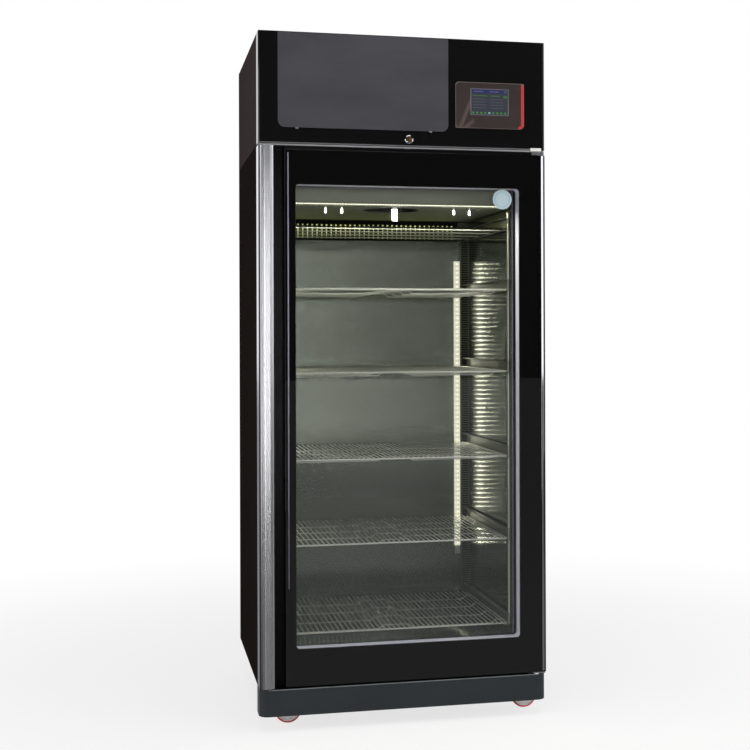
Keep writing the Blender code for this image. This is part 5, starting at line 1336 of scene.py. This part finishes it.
@dataclass
class Header:
    """The header with its side panels, chalkboard, display and lock."""

    shared: Assembly
    edge_insets: Pair = (0.0010, 0.0008)
    edge_proud: float = 0.0008
    edge_height: float = 0.0040
    clip_half: float = 0.0045
    clip_proud: float = 0.0058
    clip_rise: Pair = (0.0042, 0.0003)
    clip_inset: float = 0.056
    plate_radii: Tuple[float, ...] = (0.003, 0.014, 0.003, 0.010)
    screen_step: float = 0.0010
    lock_bore: float = 0.0078
    lock_flange: float = 0.0125
    lock_body: float = 0.0094
    lock_nut: float = 0.004
    lock_seat: float = 0.0003
    lock_mouth: Pair = (0.0012, 0.0016)
    lock_rounding: Profile = ((0.0022, 0.0), (0.0008, 0.0005), (0.0, 0.0016))

    def build(self) -> None:
        """Builds and dresses the header."""
        self.shared.refine(HEADER_GLOSS, "header_front", 0.0012)
        self.lower_edge()
        for side in ("left", "right"):
            self.shared.refine(SIDE_PANEL, f"header_side_{side}")
        self.shared.refine(BOARD, "chalkboard")
        self.control_plate()
        self.screen()
        self.board_clips()
        self.lock()

    def lower_edge(self) -> None:
        """A pale strip as far as the hinge, a painted highlight of the header's rounded lower edge."""
        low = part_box("header_front")[0]
        side, foot = self.edge_insets
        edge = Solid.block((low.x + side, low.y - self.edge_proud, low.z + foot),
                           (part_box("hinge_bracket_top")[0].x, low.y - CLEAR, low.z + self.edge_height))
        edge.bevel(0.0003, 2).piece("header_lower_edge_painted_highlight", HEADER_EDGE_HIGHLIGHT, "cabinet")

    def board_clips(self) -> None:
        """The small clips that the chalkboard rests in, under its lower edge."""
        low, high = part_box("chalkboard")
        foot, head = (low.z - rise for rise in self.clip_rise)
        clip = Solid.block((-self.clip_half, FACE_Y - self.clip_proud, foot),
                           (self.clip_half, FACE_Y - LIFT, head))
        clip.bevel(0.0008, 2).copies([(low.x + self.clip_inset, 0, 0), (high.x - self.clip_inset, 0, 0)])
        clip.piece("board_clips", ZINC, "cabinet")

    def control_plate(self) -> None:
        """The control panel's plate, with four corner radii of its own."""
        low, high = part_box("display_bezel")
        overlay = OverlayPlate("control_overlay", "bezel", tone(57, 48, 46), (low.x, low.z), (high.x, high.z),
                               tone(196, 58, 56), tone(88, 74, 72))
        plate = Solid.face([(low.x, high.y, low.z), (high.x, high.y, low.z), (high.x, high.y, high.z),
                            (low.x, high.y, high.z)])
        plate.round_corners(self.plate_radii, 8).extrude((0, low.y + self.screen_step - high.y, 0))
        plate.piece("control_plate", overlay, "cabinet", "display_bezel", soften=0.0005)

    def screen(self) -> None:
        """The display: a title bar, a status box, two columns of lines and a row of dots, each in shares."""
        low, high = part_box("display_screen")
        grey, green, violet = tone(104, 106, 112), tone(86, 132, 72), tone(118, 118, 158)
        lit, unlit = tone(170, 196, 226), tone(84, 160, 76)
        rows = [(0.03, 0.83, 0.97, 0.97, tone(62, 64, 116)), (0.08, 0.88, 0.34, 0.91, violet),
                (0.50, 0.88, 0.74, 0.91, violet), (0.88, 0.86, 0.94, 0.94, grey),
                (0.06, 0.72, 0.44, 0.75, green), (0.52, 0.72, 0.78, 0.75, green),
                (0.86, 0.66, 0.96, 0.75, green)]
        rows += [(0.06 + step * 0.46, 0.60 - line * 0.11, 0.40 + step * 0.46, 0.62 - line * 0.11, grey)
                 for line in range(4) for step in (0, 1)]
        rows += [(0.045 + 0.105 * dot, 0.055, 0.095 + 0.105 * dot, 0.125, lit if dot == 4 else unlit)
                 for dot in range(9)]
        page = ScreenImage("display_page", "screen", tone(72, 76, 86), (low.x, low.z), (high.x, high.z),
                           tuple(rows))
        Solid.block(low, high).piece("screen_glass", page, "cabinet", "display_screen", soften=0.0005)

    def lock(self) -> None:
        """The key lock: a turned housing with its nut, and the barrel."""
        low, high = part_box("lock_housing")
        centre = ((low.x + high.x) / 2, FACE_Y, (low.z + high.z) / 2)
        nut, bore, body = (high.z - low.z) / 2, self.lock_bore, self.lock_body
        flange = min(nut, self.lock_flange)
        proud, depth = FACE_Y - low.y, high.y - FACE_Y
        inner = depth - self.lock_nut
        profile = [(bore, depth), (bore, self.lock_mouth[1] - proud), (bore + self.lock_mouth[0], -proud)]
        profile += [(flange - inset, step - proud) for inset, step in self.lock_rounding]
        profile += [(flange, -self.lock_seat), (body, -self.lock_seat), (body, inner), (nut, inner),
                    (nut, depth), (bore, depth)]
        turned = Solid.lathe(profile, centre, (0, 1, 0), 56)
        turned.piece("lock_housing_turned", CHROME, "cabinet", "lock_housing")
        self.shared.refine(BRASS, "lock_barrel", 0.0)


@dataclass
class MachineRoom:
    """The condensing unit behind the header."""

    shared: Assembly
    bend_pitch: float = 0.0125
    bend_radius: float = 0.0036
    bend_reach: Pair = (-0.001, 0.004)
    bend_steps: int = 6
    bend_margin: float = 0.02
    bend_rows: Pair = (0.25, 0.75)

    def build(self) -> None:
        """Builds and dresses the machine compartment."""
        self.shared.refine(ZINC, "machine_deck", 0.0005)
        self.shared.refine(SIDE_PANEL, "rear_grille", 0.0005)
        self.shared.refine(BLACK_PLASTIC, "control_box", 0.0010)
        self.shared.refine(MACHINE_BLACK, "compressor", 0.0015, 50)
        self.shared.paint(FIN, "condenser_coil")
        self.shared.refine(ZINC, "fan_shroud", 0.0005)
        self.shared.refine(MACHINE_BLACK, "fan_motor")
        self.shared.refine(BLACK_PLASTIC, "condenser_fan", 0.0003, 40)
        for line in ("suction_line", "discharge_line"):
            self.shared.refine(COPPER, line, 0.0003, SMOOTH_ANGLE)
        self.shared.refine(BLACK_PLASTIC, "power_inlet")
        self.coil_bends()

    def coil_bends(self) -> None:
        """The copper return bends at the condenser's outer end."""
        low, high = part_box("condenser_coil")
        half = self.bend_pitch / 2
        rows = int((high.z - low.z - self.bend_margin) / (2 * self.bend_pitch))
        start, turn = self.bend_reach
        angles = [math.pi * step / self.bend_steps for step in range(1, self.bend_steps)]
        path = [(start, 0, -half), (turn, 0, -half)]
        path += [(turn + half * math.sin(angle), 0, -half * math.cos(angle)) for angle in angles]
        bend = Solid.tube([*path, (turn, 0, half), (start, 0, half)], self.bend_radius)
        bend.copies([(high.x, low.y + (high.y - low.y) * share,
                      low.z + self.bend_pitch * (2 * row + 1 + share))
                     for row in range(rows) for share in self.bend_rows])
        bend.piece("condenser_bends", COPPER, "cabinet", sharp=SMOOTH_ANGLE)


@dataclass
class AirUnit:
    """The ceiling air unit."""

    shared: Assembly
    pins: Tuple[float, ...] = (-0.226, -0.176, 0.176, 0.226)
    pin_inset: float = 0.012
    pin_profile: Profile = ((0, 0), (0.0026, 0), (0.0026, -0.016), (0.0032, -0.017), (0.0032, -0.021),
                            (0.0022, -0.022), (0, -0.022))

    def build(self) -> None:
        """Builds and dresses the air unit."""
        self.shared.refine(COVER_STEEL, "evaporator_cover", 0.0005)
        self.shared.paint(FIN, "evaporator_coil")
        self.shared.refine(STEEL, "drip_tray", 0.0004)
        self.shared.refine(BLACK_PLASTIC, "evaporator_motor")
        self.shared.refine(BLACK_PLASTIC, "evaporator_fan", 0.0003, 40)
        self.shared.refine(WHITE_PLASTIC, "air_probe", 0.0008)
        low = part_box("evaporator_cover")[0]
        pin = Solid.lathe(self.pin_profile, (0, low.y + self.pin_inset, low.z), (0, 0, 1), 16)
        pin.copies([(x, 0, 0) for x in self.pins]).piece("cover_pins", WHITE_PLASTIC, "cabinet")


@dataclass
class Lights:
    """The three light bars, with their chips and the lamps that do their lighting."""

    shared: Assembly
    top_pitch: float = 0.0083
    top_chip: Pair = (0.0022, 0.0010)
    top_power: float = 5.0
    top_tilt: float = 4
    top_lamp_step: Pair = (0.012, 0.010)
    top_lamp_depth: float = 0.02
    side_pitch: float = 0.0158
    side_chip: Pair = (0.0026, 0.0024)
    side_power: float = 0.17
    side_tilt: float = -90
    side_lamp_step: float = 0.004
    side_lamp_size: Pair = (0.005, 0.005)
    chip_proud: float = 0.0006
    lamp_colour: Colour = (1.0, 0.98, 0.80)
    foot_height: float = 0.030
    foot_inset: float = 0.0005

    def build(self) -> None:
        """Builds and dresses the light bars."""
        self.top_bar()
        for side in ("left", "right"):
            self.side_bar(side)

    def top_bar(self) -> None:
        """The bar along the air unit's lip."""
        self.shared.refine(STRIP_LENS, "led_bar_top")
        low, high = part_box("led_bar_top")
        count = int((high.x - low.x) / self.top_pitch)
        chip = self.chip((0, low.y, (low.z + high.z) / 2), self.top_chip)
        chip.copies([(low.x + self.top_pitch * (index + 0.5), 0, 0) for index in range(count)])
        chip.piece("top_bar_chips", LAMP, "cabinet")
        behind, below = self.top_lamp_step
        self.lamp("top_bar_lamp", (0, low.y + behind, low.z - below), self.top_tilt,
                  (high.x - low.x, self.top_lamp_depth), self.top_power)

    def side_bar(self, side: str) -> None:
        """An upright bar on the back wall, with one lamp for each chip.

        Args:
            side: "left" or "right".
        """
        low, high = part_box(f"led_bar_{side}")
        lens = LensCells("bar_lens", "diffuser", tone(242, 241, 216), low.z, self.side_pitch)
        self.shared.refine(lens, f"led_bar_{side}")
        middle = (low.x + high.x) / 2
        count = int((high.z - low.z) / self.side_pitch)
        heights = [low.z + self.side_pitch * (index + 0.5) for index in range(count)]
        chip = self.chip((middle, low.y, 0), self.side_chip).copies([(0, 0, height) for height in heights])
        chip.piece(f"{side}_bar_chips", SIDE_LAMP, "cabinet")
        inset = self.foot_inset
        foot = Solid.block((low.x + inset, low.y + inset, low.z - self.foot_height),
                           (high.x - inset, high.y, low.z))
        foot.bevel(0.0025, 3).piece(f"{side}_bar_foot", BAR_FOOT, "cabinet")
        for index, height in enumerate(heights):
            place = (middle, low.y - self.side_lamp_step, height)
            self.lamp(f"{side}_bar_lamp_{index}", place, self.side_tilt, self.side_lamp_size,
                      self.side_power / count, mirrored=True)

    def chip(self, face: Point, half: Pair) -> Solid:
        """One chip on a bar's face.

        Args:
            face: The middle of its back on that face.
            half: Half its width and half its height.

        Returns:
            The shape.
        """
        across, front, up = face
        return Solid.block((across - half[0], front - self.chip_proud, up - half[1]),
                           (across + half[0], front - CLEAR, up + half[1]))

    def lamp(self, name: str, place: Point, tilt: float, size: Pair, power: float,
             mirrored: bool = False) -> None:
        """One area lamp on a bar.

        Args:
            name: The lamp's name.
            place: Its centre.
            tilt: Its turn about X in degrees, from facing straight down.
            size: Its width and height.
            power: Its power in watts.
            mirrored: Whether polished steel mirrors it.
        """
        item = area_lamp(name, place, size, power)
        item.data.color = self.lamp_colour
        item.rotation_euler = (math.radians(tilt), 0, 0)
        item.visible_camera, item.visible_glossy = False, mirrored


@dataclass
class Shelf:
    """One wire shelf on its runners."""

    shared: Assembly
    node: str
    wires: Finish = PLATED_WIRE
    # The rims' pale wire is a painted highlight.
    rims: Finish = WIRE
    dip: float = 0.011
    pitch: float = 0.0156
    margin: float = 0.012
    wire: float = 0.0017
    wire_bend: Profile = ((0.0018, 0.0), (0.0004, 0.0008), (0.0, 0.0042))
    rod: float = 0.0021
    front_rod: float = 1.2
    cross_rod: float = 0.75
    rod_shares: Tuple[float, ...] = (0.12, 0.37, 0.63, 0.88)
    rod_step: float = 0.004
    rod_ends: Pair = (0.020, 0.040)
    rod_kinks: Profile = ((0.0, 0.0), (0.012, 0.9), (0.018, 1.0))

    def __post_init__(self) -> None:
        """Reads the shelf's box and body, and the places that follow from them."""
        self.low, self.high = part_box(self.node)
        self.body = self.shared.body_of[self.node]
        self.top = self.high.z - self.wire
        self.under = self.top - self.wire - self.rod
        self.front, self.back = self.low.y + self.rod, self.high.y - self.rod
        self.left, self.right = self.low.x + self.rod, self.high.x - self.rod

    def build(self) -> None:
        """Builds the shelf from round wires."""
        self.wire_rows()
        self.rim()
        self.cross_rods()

    def wire_rows(self) -> None:
        """The close wires from front to back, each bent down at the front."""
        count = int((self.high.x - self.low.x - self.margin) / self.pitch)
        start = -self.pitch * (count - 1) / 2
        path = [(0, self.back, self.top)]
        path += [(0, self.front + behind, self.top - below) for behind, below in self.wire_bend]
        wires = Solid.tube(path, self.wire, 6)
        wires.copies([(start + self.pitch * index, 0, 0) for index in range(count)])
        wires.piece(f"{self.node}_wires", self.wires, self.body, self.node, sharp=SMOOTH_ANGLE)

    def rim(self) -> None:
        """The front rod and the two side rods."""
        front, up = self.front + self.rod * 2, self.under + self.rod
        rim = Solid.tube([(self.left, front, self.under), (self.right, front, self.under)],
                         self.rod * self.front_rod)
        for side in (self.left, self.right):
            rim.join(Solid.tube([(side, self.front, up), (side, self.back, up)], self.rod))
        rim.piece(f"{self.node}_rim", self.rims, self.body, sharp=SMOOTH_ANGLE)

    def cross_rods(self) -> None:
        """The cross rods under the wires, each with two runs that dip."""
        rods = Solid()
        end, gap = self.rod_ends
        for share in self.rod_shares:
            y = self.front + (self.back - self.front) * share + self.rod_step
            path = [(self.left, y, self.under)]
            for left, right in ((self.low.x + end, -gap), (gap, self.high.x - end)):
                path += [(left + along, y, self.under - self.dip * depth) for along, depth in self.rod_kinks]
                path += [(right - along, y, self.under - self.dip * depth)
                         for along, depth in reversed(self.rod_kinks)]
            rods.join(Solid.tube([*path, (self.right, y, self.under)], self.rod * self.cross_rod))
        rods.piece(f"{self.node}_rods", SHADED_ROD, self.body, sharp=SMOOTH_ANGLE)


@dataclass
class Interior:
    """The racks and the six wire shelves."""

    shared: Assembly
    lip_place: float = 0.3440
    lip_width: float = 0.0040
    lip_depths: Pair = (0.0018, 0.0042)
    lip_end: float = 0.004
    slot_pitch: float = 0.008
    slot_half: Pair = (0.011, 0.0020)
    slot_inset: float = 0.015
    upright_face: float = 0.0087
    slot_margins: Pair = (0.008, 0.010)

    def build(self) -> None:
        """Builds and dresses racks and shelves."""
        for side in ("left", "right"):
            self.shared.refine(RACK, f"shelf_rack_{side}", 0.0003)
            self.rack_edge_highlight(side)
            self.rack_slots(side)
        for number in range(1, 6):
            Shelf(self.shared, f"wire_shelf_{number}").build()
        # The hanging rack's wires and rims are a near-black wire as painted shade.
        Shelf(self.shared, "hanging_rack", SHADED_WIRE, SHADED_WIRE, 0.0).build()

    def rack_edge_highlight(self, side: str) -> None:
        """A lip on a front upright's rolled edge, coloured pale as a painted highlight of that edge.

        Args:
            side: "left" or "right".
        """
        low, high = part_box(f"shelf_rack_{side}")
        front, back = (low.y + depth for depth in self.lip_depths)
        start = self.lip_place if side == "right" else -self.lip_place - self.lip_width
        lip = Solid.block((start, front, low.z + self.lip_end),
                          (start + self.lip_width, back, high.z - self.lip_end))
        lip.bevel(0.0007, 3).piece(f"rack_edge_highlight_{side}", RACK_EDGE_HIGHLIGHT, "cabinet")

    def rack_slots(self, side: str) -> None:
        """The row of slots in a rear upright's face, as dark blocks painted as the shade inside them.

        Args:
            side: "left" or "right".
        """
        low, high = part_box(f"shelf_rack_{side}")
        middle = math.copysign(max(abs(low.x), abs(high.x)) - self.slot_inset, low.x)
        front = high.y - self.upright_face
        across, up = self.slot_half
        slot = Solid.block((middle - across, front - LIFT, -up), (middle + across, front + LIFT, up))
        foot, margin = self.slot_margins
        count = int((high.z - low.z - margin) / self.slot_pitch)
        slot.copies([(0, 0, low.z + foot + self.slot_pitch * index) for index in range(count)])
        slot.piece(f"rack_slots_{side}", SLOT_SHADE, "cabinet")


@dataclass
class Hinges:
    """The two hinge brackets and the pale cap over the upper arm."""

    shared: Assembly
    cap: Tuple[Pair, Pair] = ((0.3935, 1.7352), (0.4280, 1.7442))
    cap_depth: float = 0.0016

    def build(self) -> None:
        """Builds and dresses the hinge brackets."""
        for place in ("top", "bottom"):
            self.shared.refine(ZINC, f"hinge_bracket_{place}", 0.0005)
        (left, foot), (right, head) = self.cap
        cap = Solid.block((left, FACE_Y - self.cap_depth - LIFT, foot), (right, FACE_Y - LIFT, head))
        cap.bevel(0.0005, 3).piece("hinge_arm_cap", WHITE_PLASTIC, "cabinet")


@dataclass
class Studio:
    """A plain pale floor, soft light and the camera at the photograph's angle."""

    place: Point = (-0.8118, -4.4352, 1.1789)
    lens: float = 66.22
    sensor: float = 36
    shift: Pair = (-0.1, -0.0587)
    yaw: float = 13.106
    pitch: float = 0.043
    roll: float = -0.168
    ambient: float = 0.35
    dark: float = 0.012
    horizon: Pair = (-0.1, 0.35)
    floor_half: float = 30
    floor_drop: float = 0.0005
    floor_fade: Pair = (0.9, 3.2)
    floor_near: float = 0.74
    floor_mirror: float = 0.85
    floor_mirrored: Colour = (0.03, 0.03, 0.03)

    def build(self) -> None:
        """Sets up camera, floor, world and lamps."""
        self.camera()
        self.floor()
        self.world()
        self.softbox("left_softbox", (-3.6, -1.4, 1.4), (0, 0, 1.1), (1.6, 2.4), 50)
        self.softbox("right_softbox", (3.4, -0.4, 1.6), (0, 0, 1.1), (1.2, 2.2), 30)
        self.softbox("right_front_softbox", (2.35, -2.3, 1.80), (0.43, -0.35, 1.80), (1.3, 1.7), 18)
        self.softbox("front_strip", (-0.03, -4.6, 1.15), (-0.42, -0.35, 1.15), (0.16, 1.70), 12)
        self.softbox("top_softbox", (0, -1.0, 3.8), (0, 0, 1.0), (2.2, 2.2), 42)
        bpy.context.scene.view_settings.view_transform = "Standard"

    def camera(self) -> None:
        """The camera that was fitted to the photograph."""
        yaw, pitch, roll = (math.radians(angle) for angle in (self.yaw, self.pitch, self.roll))
        ahead = Vector((math.sin(yaw) * math.cos(pitch), math.cos(yaw) * math.cos(pitch), math.sin(pitch)))
        right = Vector((math.cos(yaw), -math.sin(yaw), 0))
        above = right.cross(ahead)
        across = right * math.cos(roll) + above * math.sin(roll)
        up = above * math.cos(roll) - right * math.sin(roll)
        data = bpy.data.cameras.new("camera")
        data.lens, data.sensor_width = self.lens, self.sensor
        data.shift_x, data.shift_y = self.shift
        item = bpy.data.objects.new("camera", data)
        turn = Matrix((across, up, -ahead)).transposed().to_4x4()
        item.matrix_world = Matrix.Translation(self.place) @ turn
        bpy.context.scene.collection.objects.link(item)
        bpy.context.scene.camera = item

    def rays(self, graph: Graph) -> Tuple[Value, Value]:
        """The kinds of ray that a backdrop tells apart.

        Args:
            graph: The node tree.

        Returns:
            1 for rays of the camera or through glass, and 1 for mirrored rays.
        """
        path = graph.node("LightPath")
        direct, through, mirrored = (Value(graph, path.outputs[f"Is {kind} Ray"])
                                     for kind in ("Camera", "Transmission", "Glossy"))
        return direct.most(through), mirrored

    def floor(self) -> None:
        """A wide white floor that keeps the cabinet's shadow."""
        bm = bmesh.new()
        bmesh.ops.create_grid(bm, x_segments=1, y_segments=1, size=self.floor_half)
        mesh = bpy.data.meshes.new("floor")
        bm.to_mesh(mesh)
        bm.free()
        mesh.transform(Matrix.Translation((0, 0, -self.floor_drop)))
        item = bpy.data.objects.new("floor", mesh)
        bpy.context.scene.collection.objects.link(item)
        material = bpy.data.materials.new("pale_floor")
        self.floor_nodes(Graph(material))
        mesh.materials.append(material)

    def floor_nodes(self, graph: Graph) -> None:
        """Mixes the floor's matt paper with a white glow that grows with the distance.

        Args:
            graph: The material's node tree.
        """
        seen, glossy = self.rays(graph)
        across, along, _ = graph.axes()
        away = graph.scalar("SQRT", across * across + along * along)
        away = away.ramp(*self.floor_fade, self.floor_near, 1.0)
        grain = graph.noise((60, 60, 60), 2)
        graph.surface(Base_Color=graph.mix(grain, tone(238, 238, 238), tone(244, 244, 244)), Roughness=0.9)
        mirrored = glossy * self.floor_mirror
        white = graph.mix(mirrored, (1, 1, 1), self.floor_mirrored)
        glow = graph.node("Emission", None, {"Color": white, "Strength": 1.0})
        mixed = graph.node("MixShader", None, {0: (seen * away).most(mirrored)})
        graph.tree.links.new(graph.shader.outputs[0], mixed.inputs[1])
        graph.tree.links.new(glow.outputs[0], mixed.inputs[2])
        graph.tree.links.new(mixed.outputs[0], graph.tree.nodes["Material Output"].inputs[0])

    def world(self) -> None:
        """A white backdrop behind the cabinet and a dim room before it."""
        world = bpy.data.worlds.new("studio")
        bpy.context.scene.world = world
        graph = Graph(world)
        seen, glossy = self.rays(graph)
        view = Value(graph, graph.node("TexCoord").outputs["Generated"])
        way = graph.node("SeparateXYZ", None, {"Vector": view})
        behind = Value(graph, way.outputs[1]).ramp(*self.horizon, self.dark, 1.0)
        other = glossy * behind + (1.0 - glossy) * self.ambient
        back = graph.tree.nodes["Background"]
        graph.feed(back.inputs["Color"], (1, 1, 1))
        graph.feed(back.inputs["Strength"], seen + (1.0 - seen) * other)

    def softbox(self, name: str, place: Point, target: Point, size: Pair, power: float) -> None:
        """One soft lamp.

        Args:
            name: The lamp's name.
            place: Its centre.
            target: The point that it faces.
            size: Its width and height.
            power: Its power in watts.
        """
        item = area_lamp(name, place, size, power)
        item.rotation_euler = (Vector(target) - Vector(place)).to_track_quat("-Z", "Y").to_euler()


def main() -> None:
    """Builds the sub-assemblies in order."""
    logging.basicConfig(level=logging.INFO, format="%(message)s")
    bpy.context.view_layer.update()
    shared = Assembly(frame)
    Studio().build()
    CabinetBody(shared).build()
    for corner in ("front_left", "front_right", "rear_left", "rear_right"):
        Castor(shared, corner).build()
    for section in (Door, Hinges, Header, MachineRoom, AirUnit, Lights, Interior):
        section(shared).build()


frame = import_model()

if __name__ == "__main__":
    main()
